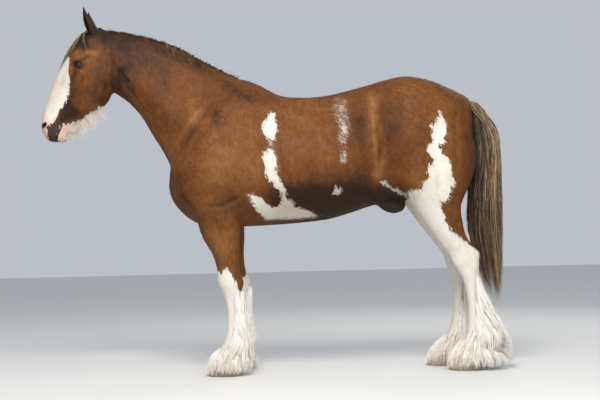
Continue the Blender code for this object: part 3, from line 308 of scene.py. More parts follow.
# Muscles, bony points and hollows: centre, radii, pitch in degrees and how far the skin
# is pushed out there. They lie alike on both sides.
Form = namedtuple("Form", "at radii pitch push")
FORMS = [Form(*row) for row in (
    # Shoulder blade, point of the shoulder, triceps, breast and elbow
    ((-0.330, 0.270, 1.450), (0.060, 0.120, 0.260), 38, 0.012),
    ((-0.210, 0.260, 1.520), (0.060, 0.120, 0.180), 24, -0.010),
    ((-0.545, 0.200, 1.215), (0.075, 0.090, 0.080), 20, 0.022),
    ((-0.290, 0.270, 1.200), (0.150, 0.120, 0.160), 20, 0.022),
    ((-0.440, 0.260, 1.330), (0.045, 0.100, 0.160), 42, -0.008),
    ((-0.560, 0.105, 1.100), (0.080, 0.075, 0.100), 0, 0.028),
    ((-0.580, 0.000, 1.110), (0.060, 0.030, 0.110), 0, -0.030),
    ((-0.200, 0.225, 1.000), (0.045, 0.060, 0.055), 0, 0.016),
    ((-0.120, 0.270, 1.100), (0.060, 0.100, 0.160), 10, -0.010),
    # Neck: windpipe line, groove above it and the crest
    ((-0.780, 0.110, 1.600), (0.050, 0.060, 0.300), -38, -0.010),
    ((-0.620, 0.160, 1.560), (0.070, 0.080, 0.260), -42, 0.010),
    ((-0.400, 0.190, 1.700), (0.070, 0.100, 0.150), 30, -0.010),
    # Barrel, flank hollow and hip
    ((0.200, 0.340, 1.180), (0.330, 0.150, 0.200), 0, 0.010),
    ((0.555, 0.300, 1.450), (0.080, 0.100, 0.110), 10, -0.026),
    ((0.660, 0.285, 1.560), (0.060, 0.080, 0.055), 0, 0.020),
    ((0.620, 0.250, 1.120), (0.060, 0.080, 0.120), 12, -0.012),
    # Croup, thigh, stifle and the furrow down the back of the haunch
    ((0.880, 0.200, 1.640), (0.160, 0.100, 0.100), 0, 0.016),
    ((0.850, 0.000, 1.740), (0.260, 0.030, 0.050), 0, -0.010),
    ((0.830, 0.300, 1.300), (0.110, 0.100, 0.190), -8, 0.016),
    ((1.020, 0.270, 1.360), (0.060, 0.100, 0.260), -6, 0.012),
    ((0.945, 0.280, 1.200), (0.035, 0.090, 0.240), -10, -0.012),
    ((0.800, 0.255, 1.080), (0.060, 0.070, 0.060), 0, 0.020),
    # Head: cheek, its edge, eye ridge, temple, face crest, nostrils and chin
    ((-1.050, 0.080, 1.760), (0.085, 0.050, 0.110), 24, 0.014),
    ((-1.134, 0.102, 1.874), (0.045, 0.040, 0.020), 24, 0.014),
    ((-1.105, 0.085, 1.945), (0.030, 0.035, 0.030), 24, -0.012),
    ((-1.205, 0.100, 1.795), (0.018, 0.045, 0.080), 24, 0.009),
    ((-1.255, 0.080, 1.690), (0.040, 0.045, 0.090), 24, -0.008),
    ((-1.345, 0.052, 1.500), (0.030, 0.035, 0.045), 24, 0.012),
    ((-1.120, 0.070, 1.620), (0.040, 0.045, 0.060), 24, -0.008),
)]
LEG_FORMS = [Form(*row) for row in (
    ((-0.400, 0.190, 0.860), (0.070, 0.070, 0.110), 8, 0.012),
    ((-0.235, 0.190, 0.840), (0.045, 0.070, 0.110), 0, 0.008),
    ((-0.330, 0.173, 0.550), (0.050, 0.080, 0.045), 0, 0.006),
    ((-0.200, 0.173, 0.545), (0.025, 0.040, 0.030), 0, 0.008),
    ((-0.235, 0.168, 0.360), (0.014, 0.080, 0.110), 0, -0.006),
    ((1.000, 0.165, 0.910), (0.060, 0.080, 0.110), -24, 0.010),
    ((1.085, 0.155, 0.800), (0.022, 0.080, 0.090), -24, -0.016),
    ((1.195, 0.150, 0.690), (0.030, 0.040, 0.035), 0, 0.010),
    ((1.060, 0.148, 0.620), (0.050, 0.080, 0.045), 0, 0.006),
    ((1.170, 0.146, 0.400), (0.014, 0.080, 0.130), 0, -0.007),
)]
# An ellipsoid's centre, radii and pitch in degrees
Muscle = namedtuple("Muscle", "at radii pitch")
SHEATH = Muscle((0.700, 0.0, 0.985), (0.090, 0.050, 0.060), 12)
CHIN = Muscle((-1.262, 0.0, 1.428), (0.036, 0.044, 0.036), 30)
# Finer forms of the face, which only the dense mesh of the head can hold
FACE_FORMS = [Form(*row) for row in (
    ((-1.352, 0.058, 1.500), (0.026, 0.030, 0.040), 24, 0.007),
    ((-1.322, 0.058, 1.572), (0.016, 0.030, 0.045), 24, -0.005),
    ((-1.388, 0.000, 1.490), (0.030, 0.010, 0.060), 24, -0.004),
    ((-1.340, 0.030, 1.420), (0.030, 0.030, 0.024), 24, 0.006),
    ((-1.298, 0.050, 1.440), (0.012, 0.030, 0.035), 24, 0.005),
    ((-1.235, 0.030, 1.470), (0.014, 0.030, 0.020), 24, -0.006),
    ((-1.268, 0.045, 1.470), (0.010, 0.025, 0.028), 24, 0.004),
    ((-1.150, 0.105, 1.868), (0.026, 0.030, 0.010), 24, 0.005),
    ((-1.128, 0.105, 1.812), (0.024, 0.030, 0.010), 24, -0.004),
    ((-1.165, 0.100, 1.838), (0.016, 0.030, 0.014), 24, -0.004),
    ((-1.137, 0.110, 1.849), (0.030, 0.030, 0.026), 24, 0.005),
    ((-1.095, 0.100, 1.860), (0.020, 0.030, 0.016), 24, -0.003),
    ((-1.010, 0.080, 1.700), (0.014, 0.040, 0.110), 12, 0.004),
    ((-1.180, 0.080, 1.655), (0.014, 0.040, 0.110), 30, 0.004),
    ((-1.215, 0.075, 1.610), (0.012, 0.040, 0.080), 30, -0.003),
)]
# Folds and creases: a line from (x, z) to (x, z) on both flanks, its half width and height
Fold = namedtuple("Fold", "x1 z1 x2 z2 width push")
FOLDS = [Fold(*row) for row in (
    # In front of the hip, the stifle's web, and the elbow and throat creases
    (0.568, 1.600, 0.586, 1.400, 0.014, 0.006),
    (0.586, 1.400, 0.600, 1.190, 0.014, 0.006),
    (0.612, 1.500, 0.632, 1.230, 0.018, -0.006),
    (0.612, 1.120, 0.742, 1.042, 0.014, 0.007),
    (0.742, 1.042, 0.830, 0.930, 0.014, 0.006),
    (-0.400, 0.985, -0.300, 0.985, 0.014, -0.007),
    (-0.300, 0.985, -0.215, 1.030, 0.014, -0.008),
    (-0.950, 1.900, -0.972, 1.700, 0.016, -0.007),
    (-0.905, 1.860, -0.925, 1.700, 0.010, -0.003),
    (-0.905, 1.810, -0.850, 1.740, 0.011, -0.006),
    (-0.850, 1.740, -0.755, 1.605, 0.011, -0.007),
    (-0.865, 1.800, -0.750, 1.610, 0.013, 0.004),
    # Front edge of the shoulder blade, its spine, and the line under the mane's muscle
    (-0.370, 1.570, -0.580, 1.260, 0.022, -0.007),
    (-0.420, 1.590, -0.620, 1.280, 0.020, 0.004),
    (-0.560, 1.060, -0.450, 0.960, 0.010, -0.006),
    (-0.230, 1.020, -0.190, 0.940, 0.010, -0.006),
    (-0.250, 1.640, -0.420, 1.330, 0.020, 0.004),
    (-0.880, 1.960, -0.500, 1.760, 0.022, -0.004),
    (-0.930, 1.700, -0.600, 1.330, 0.022, -0.004),
    # Forearm, gaskin and hamstring furrows
    (-0.330, 0.900, -0.290, 0.690, 0.012, -0.005),
    (-0.265, 0.860, -0.245, 0.660, 0.010, -0.004),
    (1.060, 0.860, 1.140, 0.740, 0.014, -0.007),
    (0.940, 0.950, 1.040, 0.740, 0.012, -0.004),
    (1.060, 1.480, 1.050, 1.180, 0.016, -0.005),
    (0.760, 1.560, 0.700, 1.300, 0.026, -0.004),
)]
# The creases round the eye, its brow with a hollow behind, and the bony crest of the cheek
FACE_FOLDS = [Fold(*row) for row in (
    (-1.162, 1.832, -1.122, 1.820, 0.004, -0.0022),
    (-1.122, 1.820, -1.098, 1.842, 0.004, -0.0022),
    (-1.158, 1.818, -1.115, 1.804, 0.005, 0.0015),
    (-1.160, 1.873, -1.126, 1.882, 0.004, -0.0028),
    (-1.126, 1.882, -1.102, 1.868, 0.004, -0.0028),
    (-1.150, 1.896, -1.095, 1.904, 0.010, 0.0050),
    (-1.085, 1.918, -1.060, 1.940, 0.016, -0.0060),
    (-1.118, 1.790, -1.195, 1.672, 0.009, 0.0050),
    (-1.100, 1.770, -1.180, 1.650, 0.010, -0.0035),
    (-1.060, 1.660, -1.120, 1.590, 0.006, 0.0020),
    (-1.200, 1.640, -1.262, 1.560, 0.006, -0.0020),
    (-1.262, 1.505, -1.240, 1.530, 0.006, -0.0030),
)]
RIB_PUSH = 0.0020
RIB_SPACING = 0.062
RELIEF = 1.3
# Where the dense mesh of the head begins, and the densest of eyes, nostrils and lips
HEAD_EDGE = (-0.94, 1.36)
NOSE_EDGE = (-1.215, 1.550)
EYE_REACH = 0.050


def through(rows, steps):
    """Rows of numbers along a smooth Catmull-Rom curve through the given rows."""
    given = np.array(rows, float)
    padded = np.vstack([given[0], given, given[-1]])
    out = []
    for i in range(len(given) - 1):
        a, b, c, d = padded[i : i + 4]
        for t in np.linspace(0, 1, steps, endpoint=False):
            cubic = (3 * b - a - 3 * c + d) * t**3
            out.append(0.5 * (2 * b + (c - a) * t + (2 * a - 5 * b + 4 * c - d) * t**2 + cubic))
    out.append(given[-1])
    return np.array(out)


def ring(section, around):
    """Points around one cross section, from the two squared half ellipses that it names."""
    s = Section(*section)
    points = []
    for k in range(around):
        angle = 2 * math.pi * k / around
        across, down = math.cos(angle), math.sin(angle)
        power = 2 / (s.n1 if down > 0 else s.n2)
        sideways = math.copysign(abs(across) ** power, across) * s.half
        reach = abs(down) ** power
        share = s.wide * (1 - reach) if down > 0 else s.wide + (1 - s.wide) * reach
        points.append((s.x1 + (s.x2 - s.x1) * share, s.y + sideways, s.z1 + (s.z2 - s.z1) * share))
    return points


def skin_rings(bm, rings):
    """Joins closed rings of equal count into a tube and caps both ends."""
    loops = [[bm.verts.new(p) for p in r] for r in rings]
    count = len(loops[0])
    for one, two in zip(loops, loops[1:]):
        for k in range(count):
            bm.faces.new((one[k], one[(k + 1) % count], two[(k + 1) % count], two[k]))
    bm.faces.new(loops[0][::-1])
    bm.faces.new(loops[-1])


def loft(bm, rows, around=48, steps=6):
    skin_rings(bm, [ring(row, around) for row in through(rows, steps)])


def mirrored(place, side):
    """A place or a way that is given for the right side (1), on either side."""
    return Vector((place[0], side * place[1], place[2]))


def ellipsoid(bm, muscle, side=1, spin=None):
    """An ellipsoid, turned about the Y axis by the muscle's pitch."""
    turn = Matrix.Rotation(math.radians(muscle.pitch), 4, "Y")
    size = Matrix.Diagonal((*muscle.radii, 1.0))
    place = Matrix.Translation(mirrored(muscle.at, side)) @ (spin or Matrix.Identity(4))
    bmesh.ops.create_icosphere(bm, subdivisions=4, radius=1.0, matrix=place @ turn @ size)


def stance_moves(stance):
    return (stance.foot, stance.cannon, stance.joint, 0.0)


def leg_rows(stance):
    """A leg's sections, moved to its own stance and side."""
    rows = []
    for s in stance.rows:
        height = (s.z1 + s.z2) / 2
        move = float(np.interp(height, STANCE_HEIGHTS, stance_moves(stance)))
        rows.append(s._replace(x1=s.x1 + move, x2=s.x2 + move, y=stance.side * s.y))
    return rows


def stance_shift(points):
    """How far each point's own leg stands behind the near legs' places."""
    shift = np.zeros(len(points))
    for name, stance in LEGS.items():
        fore = points[:, 0] < 0.3
        mine = (fore == name.startswith("fore")) & (np.sign(points[:, 1]) == stance.side)
        shift[mine] = np.interp(points[mine, 2], STANCE_HEIGHTS, stance_moves(stance))
    return shift


def settle(obj):
    """Replaces the object's mesh by what its modifiers make of it."""
    graph = bpy.context.evaluated_depsgraph_get()
    made = bpy.data.meshes.new_from_object(obj.evaluated_get(graph))
    obj.modifiers.clear()
    obj.data = made


def boolean(obj, other, operation):
    """Joins or cuts the dense skin; MANIFOLD, because EXACT takes minutes on it."""
    step = obj.modifiers.new("step", "BOOLEAN")
    step.operation = operation
    step.object = other
    step.solver = "MANIFOLD"
    settle(obj)
    bpy.data.objects.remove(other)


def read(mesh, what="co"):
    """The mesh's vertex places or normals as rows of three."""
    flat = np.empty(len(mesh.vertices) * 3)
    source = mesh.vertices if what == "co" else mesh.vertex_normals
    source.foreach_get(what if what == "co" else "vector", flat)
    return flat.reshape(-1, 3)


def pitched(ahead, above, pitch):
    """Distances along and across an axis in the side view that is pitched by some degrees."""
    cos, sin = math.cos(math.radians(pitch)), math.sin(math.radians(pitch))
    return cos * ahead - sin * above, sin * ahead + cos * above


def form_weight(points, ahead, form):
    """How strongly a soft form acts at each point, from 0 to 1."""
    one, two = pitched(ahead, points[:, 2] - form.at[2], form.pitch)
    beside = np.abs(points[:, 1]) - form.at[1]
    rx, ry, rz = form.radii
    return np.exp(-((one / rx) ** 2) - (two / rz) ** 2 - (beside / ry) ** 2)


def line_distance(x, z, x1, z1, x2, z2):
    """Distance in the side view from each point to a line between two (x, z) places."""
    dx, dz = x2 - x1, z2 - z1
    t = np.clip(((x - x1) * dx + (z - z1) * dz) / (dx * dx + dz * dz), 0, 1)
    return np.hypot(x - x1 - t * dx, z - z1 - t * dz)


def sculpt(obj, forms, leg_forms=(), folds=(), depth=0.0, relief=1.0):
    """Pushes the surface out or in along its normals by soft forms, folds and a depth."""
    points = read(obj.data)
    normals = read(obj.data, "normals")
    near = points[:, 0] - stance_shift(points)
    total = np.full(len(points), -depth)
    for x, group in ((points[:, 0], forms), (near, leg_forms)):
        for form in group:
            total += relief * form.push * form_weight(points, x - form.at[0], form)
    aside = np.clip(np.abs(normals[:, 1]) * 1.6 - 0.3, 0, 1)
    for fold in folds:
        gap = line_distance(near, points[:, 2], *fold[:4])
        total += relief * fold.push * np.exp(-((gap / fold.width) ** 2)) * aside
    if depth:
        x, z = points[:, 0], points[:, 2]
        barrel = np.exp(-(((x - 0.25) / 0.26) ** 4) - ((z - 1.27) / 0.20) ** 4)
        total += RIB_PUSH * barrel * aside * np.sin((x + 0.25 * z) * 2 * math.pi / RIB_SPACING)
    points += normals * total[:, None]
    obj.data.vertices.foreach_set("co", points.ravel())
    obj.data.update()


def refine(obj, inside, passes):
    """Halves the edges of the part that lies inside, and evens it out."""
    bm = bmesh.new()
    bm.from_mesh(obj.data)
    verts = {v for v in bm.verts if inside(v.co)}
    edges = [e for e in bm.edges if e.verts[0] in verts and e.verts[1] in verts]
    bmesh.ops.subdivide_edges(bm, edges=edges, cuts=1, use_grid_fill=True)
    verts = [v for v in bm.verts if inside(v.co)]
    for _ in range(passes):
        bmesh.ops.smooth_vert(
            bm, verts=verts, factor=0.5, use_axis_x=True, use_axis_y=True, use_axis_z=True
        )
    bm.to_mesh(obj.data)
    bm.free()


def near_features(co):
    """Whether a point of the head lies by an eye, a nostril or the lips."""
    eye = (Vector((co.x, abs(co.y), co.z)) - EYE_CENTRE).length < EYE_REACH
    return eye or (co.x < NOSE_EDGE[0] and co.z < NOSE_EDGE[1])


def sight_axes(side):
    """Axes at the eye: along the lid slit, up, and out along the line of sight."""
    sight = mirrored(EYE_SIGHT, side).normalized()
    slit = (EYE_SLIT - EYE_SLIT.dot(sight) * sight).normalized()
    up = sight.cross(slit) * side
    return slit, up if up.z > 0 else -up, sight


def eye_place(side):
    return mirrored(EYE_CENTRE, side)


def tree_of(obj):
    bm = bmesh.new()
    bm.from_mesh(obj.data)
    found = BVHTree.FromBMesh(bm)
    bm.free()
    return found


def circle(middle, radius, one, two, sides):
    """Points round a middle in the plane of two axes."""
    turns = [2 * math.pi * k / sides for k in range(sides)]
    return [middle + radius * (math.cos(a) * one + math.sin(a) * two) for a in turns]


def tube(bm, points, radius, sides=8):
    """A closed tube through points, its rings square to the path."""
    rings = []
    one = (points[1] - points[0]).orthogonal().normalized()
    for i, p in enumerate(points):
        ahead = points[min(i + 1, len(points) - 1)] - points[max(i - 1, 0)]
        one = (one - one.project(ahead)).normalized()
        two = ahead.normalized().cross(one)
        rings.append(circle(p, radius, one, two, sides))
    skin_rings(bm, rings)


body = bmesh.new()
for table in (TORSO, NECK, HEAD):
    loft(body, table)
for stance in LEGS.values():
    loft(body, leg_rows(stance), around=32)
ellipsoid(body, SHEATH)
ellipsoid(body, CHIN)
skin = add_object("skin", body)
fuse = skin.modifiers.new("fuse", "REMESH")
fuse.mode = "VOXEL"
fuse.voxel_size = SKIN_GRAIN
even = skin.modifiers.new("even", "SMOOTH")
even.factor = 0.5
even.iterations = SKIN_SMOOTHINGS
settle(skin)
sculpt(skin, FORMS, LEG_FORMS, FOLDS, COAT_DEPTH, RELIEF)
refine(skin, lambda co: co.x < HEAD_EDGE[0] and co.z > HEAD_EDGE[1], 2)
refine(skin, near_features, 1)
sculpt(skin, FACE_FORMS, folds=FACE_FOLDS)

# Eye openings, nostrils and the line of the lips are cut into the head. The lips meet on
# a line from corner to corner round the front. The nostrils are slanted slots that open
# outwards.
MOUTH_CORNER = (-1.254, 1.499)
MOUTH_FRONT = (-1.300, 1.390)
MOUTH_GROOVE = 0.0030
NOSTRIL = Muscle((-1.356, 0.060, 1.502), (0.0115, 0.022, 0.024), 34)
NOSTRIL_TURN = 35
LID_DEPTH = 0.030


def lip_points(tree, count=25):
    """Points of the lips' meeting line on the skin."""
    (cx, cz), (fx, fz) = MOUTH_CORNER, MOUTH_FRONT
    points = []
    for k in range(count):
        turn = math.pi * (k / (count - 1))
        along = math.sin(turn) ** 0.8
        x, z = cx + (fx - cx) * along, cz + (fz - cz) * along
        outside = Vector((x, math.cos(turn) * 0.3, z - 0.05 * along))
        inside = Vector((x, math.cos(turn) * 0.012, z + 0.02 * along))
        hit = tree.ray_cast(outside, (inside - outside).normalized())[0]
        points.append(hit if hit else inside)
    return points


nostril_trees = []
for side in (-1, 1):
    slit, up, sight = sight_axes(side)
    turn = Matrix((slit, up, sight)).transposed().to_4x4()
    cutter = bmesh.new()
    size = Matrix.Diagonal((*LID_OPENING, LID_DEPTH, 1.0))
    place = Matrix.Translation(eye_place(side) + sight * 0.020)
    bmesh.ops.create_uvsphere(
        cutter, u_segments=48, v_segments=24, radius=1.0, matrix=place @ turn @ size
    )
    boolean(skin, add_object("almond", cutter), "DIFFERENCE")
    cutter = bmesh.new()
    bmesh.ops.create_icosphere(
        cutter, subdivisions=4, radius=EYE_RADIUS, matrix=Matrix.Translation(eye_place(side))
    )
    boolean(skin, add_object("bed", cutter), "DIFFERENCE")
    cutter = bmesh.new()
    spin = Matrix.Rotation(math.radians(-side * NOSTRIL_TURN), 4, "Z")
    ellipsoid(cutter, NOSTRIL, side, spin)
    nostril_trees.append(BVHTree.FromBMesh(cutter))
    boolean(skin, add_object("nostril", cutter), "DIFFERENCE")
cutter = bmesh.new()
tube(cutter, lip_points(tree_of(skin)), MOUTH_GROOVE)
lip_tree = BVHTree.FromBMesh(cutter)
boolean(skin, add_object("lips", cutter), "DIFFERENCE")

# The ears: cupped walls of cartilage, nearly closed at the base and pointed at the tip.
# They are part of the skin, and turn a little outwards and forwards.
EAR_BASE = Vector((-1.042, 0.052, 2.030))
EAR_TIP = Vector((-1.112, 0.080, 2.190))
EAR_OPENS = Vector((-0.90, 0.42, 0.0))
EAR_WALL = 0.0042
# Share of the length, half width, half depth, and half the arc of the wall in degrees
EAR_ROWS = [
    (-0.12, 0.024, 0.028, 168),
    (0.00, 0.027, 0.030, 160),
    (0.20, 0.033, 0.030, 143),
    (0.45, 0.035, 0.024, 124),
    (0.68, 0.028, 0.018, 112),
    (0.87, 0.014, 0.010, 104),
    (1.00, 0.003, 0.004, 98),
]


def ear_axes(side):
    """The ear's base, its way up, the way that it opens, and across."""
    base = mirrored(EAR_BASE, side)
    rise = mirrored(EAR_TIP, side) - base
    opens = mirrored(EAR_OPENS, side)
    opens = (opens - opens.project(rise)).normalized()
    return base, rise, opens, rise.normalized().cross(opens)


def ear_wall(side, share, wide, deep, turn):
    base, rise, opens, across = ear_axes(side)
    bow = 0.012 * math.sin(math.pi * max(share, 0)) - 0.006 * max(share, 0) ** 4
    middle = base + rise * share + opens * bow
    return middle - opens * math.cos(turn) * deep + across * math.sin(turn) * wide


for side in (-1, 1):
    ear = bmesh.new()
    rings = []
    for share, wide, deep, arc in through(EAR_ROWS, 5):
        turns = np.radians(np.linspace(-arc, arc, 19))
        wall = EAR_WALL * (1 - 0.6 * max(share, 0))
        outer = [ear_wall(side, share, wide, deep, a) for a in turns]
        inner = [ear_wall(side, share, wide - wall, deep - wall, a) for a in turns[1:-1]]
        rings.append(outer + inner[::-1])
    skin_rings(ear, rings)
    boolean(skin, add_object("ear", ear), "UNION")

# The lids: firm rims of skin that grow out of the face round each eye and touch the globe.
# The upper one is the thicker.
LID_RINGS = 26
# From and to an angle round the opening, and the rim's radius
LID_RIMS = ((0.0, math.pi, 0.0034), (math.pi, 2 * math.pi, 0.0024))


def lid_point(side, turn, off=0.0014, wider=0.0012):
    """A point of the lid's edge, and the way from the opening's middle to it."""
    slit, up, sight = sight_axes(side)
    wide, high = (size + wider for size in LID_OPENING)
    aside = slit * wide * math.cos(turn) + up * high * math.sin(turn)
    ahead = math.sqrt(max((EYE_RADIUS + off) ** 2 - aside.length_squared, 0.0))
    return eye_place(side) + aside + sight * ahead, aside.normalized()


for side in (-1, 1):
    sight = sight_axes(side)[2]
    for first, last, full in LID_RIMS:
        rings = []
        for k in range(LID_RINGS + 1):
            share = k / LID_RINGS
            point, away = lid_point(side, first + (last - first) * (1.06 * share - 0.03))
            size = full * (0.45 + 0.55 * math.sin(math.pi * share))
            rings.append(circle(point, size, 1.5 * away, sight, 12))
        lid = bmesh.new()
        skin_rings(lid, rings)
        boolean(skin, add_object("lid", lid), "UNION")

# The coat's colours and lie. A splashed white pattern runs over a warm chestnut coat that is darker
# on the crest, darker on the belly partly by its hair and partly by painted shade, and lighter on
# the shoulder by painted highlight. Each mark is an outline in the side view; where skin is bare on
# muzzle and lids, it is grey under brown and pink under white.
LEFT_MARKS = {
    "girth": [
        (0.002, 1.523), (0.020, 1.503), (0.019, 1.466), (0.027, 1.430), (0.020, 1.398),
        (0.010, 1.357), (-0.022, 1.358), (-0.054, 1.395), (-0.061, 1.445), (-0.042, 1.477),
        (-0.019, 1.508),
    ],
    "stripe": [
        (-0.028, 1.306), (0.004, 1.292), (0.021, 1.237), (0.015, 1.183), (0.036, 1.127),
        (0.066, 1.072), (0.070, 1.017), (0.044, 1.009), (0.042, 1.054), (-0.005, 1.101),
        (-0.041, 1.147), (-0.048, 1.202), (-0.056, 1.257), (-0.046, 1.293),
    ],
    "belly": [
        (-0.155, 1.052), (-0.077, 1.032), (-0.046, 0.995), (-0.005, 0.971), (0.031, 0.975),
        (0.041, 1.012), (0.069, 1.020), (0.101, 1.010), (0.114, 0.968), (0.187, 0.953),
        (0.245, 0.915), (0.150, 0.905), (-0.060, 0.905), (-0.102, 0.951), (-0.124, 1.006),
    ],
    "spot": [(0.338, 1.040), (0.358, 1.088), (0.382, 1.062), (0.372, 1.034)],
    "haunch": [
        (0.961, 1.495), (0.988, 1.448), (1.001, 1.402), (0.975, 1.311), (0.948, 1.307),
        (0.965, 1.256), (1.019, 1.195), (1.022, 1.135), (1.043, 1.079), (1.006, 1.034),
        (0.995, 0.980), (0.949, 0.990), (0.967, 0.944), (0.992, 0.860), (1.028, 0.805),
        (1.100, 0.757), (1.145, 0.719), (1.450, 0.700), (1.450, -0.10), (0.700, -0.10),
        (0.700, 0.960), (0.782, 1.002), (0.774, 1.039), (0.848, 1.055), (0.858, 1.092),
        (0.895, 1.128), (0.873, 1.147), (0.887, 1.173), (0.916, 1.218), (0.880, 1.265),
        (0.891, 1.311), (0.919, 1.328), (0.901, 1.356), (0.920, 1.392), (0.902, 1.415),
        (0.939, 1.438),
    ],
    "stifle": [(0.616, 1.108), (0.650, 1.116), (0.660, 1.090), (0.640, 1.086)],
    "foreleg": [
        (-0.380, 0.590), (-0.330, 0.608), (-0.311, 0.592), (-0.291, 0.637), (-0.273, 0.614),
        (-0.251, 0.591), (-0.229, 0.529), (-0.215, 0.483), (-0.208, 0.453), (-0.195, 0.420),
        (0.100, 0.420), (0.100, -0.10), (-0.600, -0.10), (-0.600, 0.590),
    ],
    "blaze": [
        (-1.186, 1.877), (-1.192, 1.842), (-1.198, 1.746), (-1.207, 1.683), (-1.222, 1.650),
        (-1.246, 1.611), (-1.275, 1.571), (-1.300, 1.515), (-1.337, 1.483), (-1.344, 1.380),
        (-1.450, 1.380), (-1.450, 1.800), (-1.300, 1.960), (-1.222, 1.930),
    ],
    "chin": [
        (-1.258, 1.501), (-1.204, 1.512), (-1.150, 1.529), (-1.113, 1.558), (-1.089, 1.569),
        (-1.034, 1.609), (-1.010, 1.560), (-1.100, 1.350), (-1.291, 1.350), (-1.291, 1.391),
        (-1.275, 1.459),
    ],
}
RIGHT_MARKS = {
    "girth": [
        (-0.060, 1.330), (-0.010, 1.400), (0.030, 1.340), (0.055, 1.210), (0.090, 1.120),
        (0.060, 1.060), (0.010, 1.130), (-0.030, 1.210),
    ],
    "belly": [
        (-0.120, 1.020), (-0.030, 1.000), (0.060, 1.060), (0.120, 1.010), (0.230, 0.980),
        (0.300, 0.930), (0.200, 0.850), (-0.070, 0.850), (-0.110, 0.930),
    ],
    "haunch": [
        (0.880, 1.330), (0.935, 1.300), (0.960, 1.200), (1.010, 1.110), (0.985, 1.000),
        (1.000, 0.900), (1.060, 0.820), (1.130, 0.740), (1.450, 0.700), (1.450, -0.10),
        (0.600, -0.10), (0.700, 0.960), (0.760, 1.040), (0.820, 1.110), (0.850, 1.210),
    ],
    "foreleg": [
        (-0.340, 0.575), (-0.300, 0.620), (-0.262, 0.585), (-0.235, 0.560), (-0.190, 0.600),
        (0.100, 0.560), (0.100, -0.10), (-0.600, -0.10), (-0.600, 0.560),
    ],
    "blaze": [
        (-1.205, 1.872), (-1.214, 1.800), (-1.226, 1.740), (-1.248, 1.660), (-1.288, 1.570),
        (-1.318, 1.500), (-1.344, 1.440), (-1.350, 1.380), (-1.450, 1.380), (-1.450, 1.800),
        (-1.300, 1.960), (-1.222, 1.930),
    ],
    "chin": [
        (-1.258, 1.496), (-1.204, 1.500), (-1.150, 1.516), (-1.100, 1.545), (-1.050, 1.570),
        (-1.100, 1.350), (-1.291, 1.350), (-1.291, 1.391), (-1.275, 1.459),
    ],
}
LIP_GREY = [
    (-1.278, 1.573), (-1.302, 1.516), (-1.337, 1.483), (-1.342, 1.403), (-1.291, 1.391),
    (-1.275, 1.459), (-1.228, 1.497), (-1.159, 1.535), (-1.141, 1.569), (-1.170, 1.599),
    (-1.215, 1.650),
]
# The pale rim of hair along the fold in front of the stifle
STIFLE_RIM = ((0.650, 1.090), (0.742, 1.042), (0.83, 0.93))
WHITE_REACH = 0.08
MUZZLE_START, MUZZLE_FADE = 0.555, 0.060
LIDS_REACH, LIDS_FADE = 0.040, 0.012
NOSTRIL_REACH = 0.0030
LIP_REACH = 0.006
# Soft patches in the side view: (x, z), radii, pitch, strength, and the side or 0 for both
Patch = namedtuple("Patch", "x z rx rz pitch push side", defaults=(0,))
ROAN_PATCHES = [Patch(*row) for row in (
    (0.350, 1.570, 0.100, 0.110, 0, 0.26, -1),
    (0.392, 1.430, 0.070, 0.170, 4, 0.30, -1),
    (0.388, 1.550, 0.050, 0.085, 0, 0.38, -1),
    (0.408, 1.390, 0.032, 0.110, 4, 0.68, -1),
    (0.402, 1.235, 0.028, 0.045, 0, 0.72, -1),
    (0.461, 1.008, 0.007, 0.010, 0, 1.00, -1),
    (-0.010, 1.330, 0.030, 0.035, 0, 0.60, -1),
    (-0.130, 1.020, 0.035, 0.050, 20, 0.60, -1),
    (0.010, 1.200, 0.070, 0.130, -8, 0.28, -1),
    (0.790, 1.040, 0.050, 0.030, 0, 0.55, -1),
    (0.380, 1.350, 0.040, 0.120, 6, 0.55, 1),
    (0.900, 1.340, 0.050, 0.060, 0, 0.45, 1),
)]
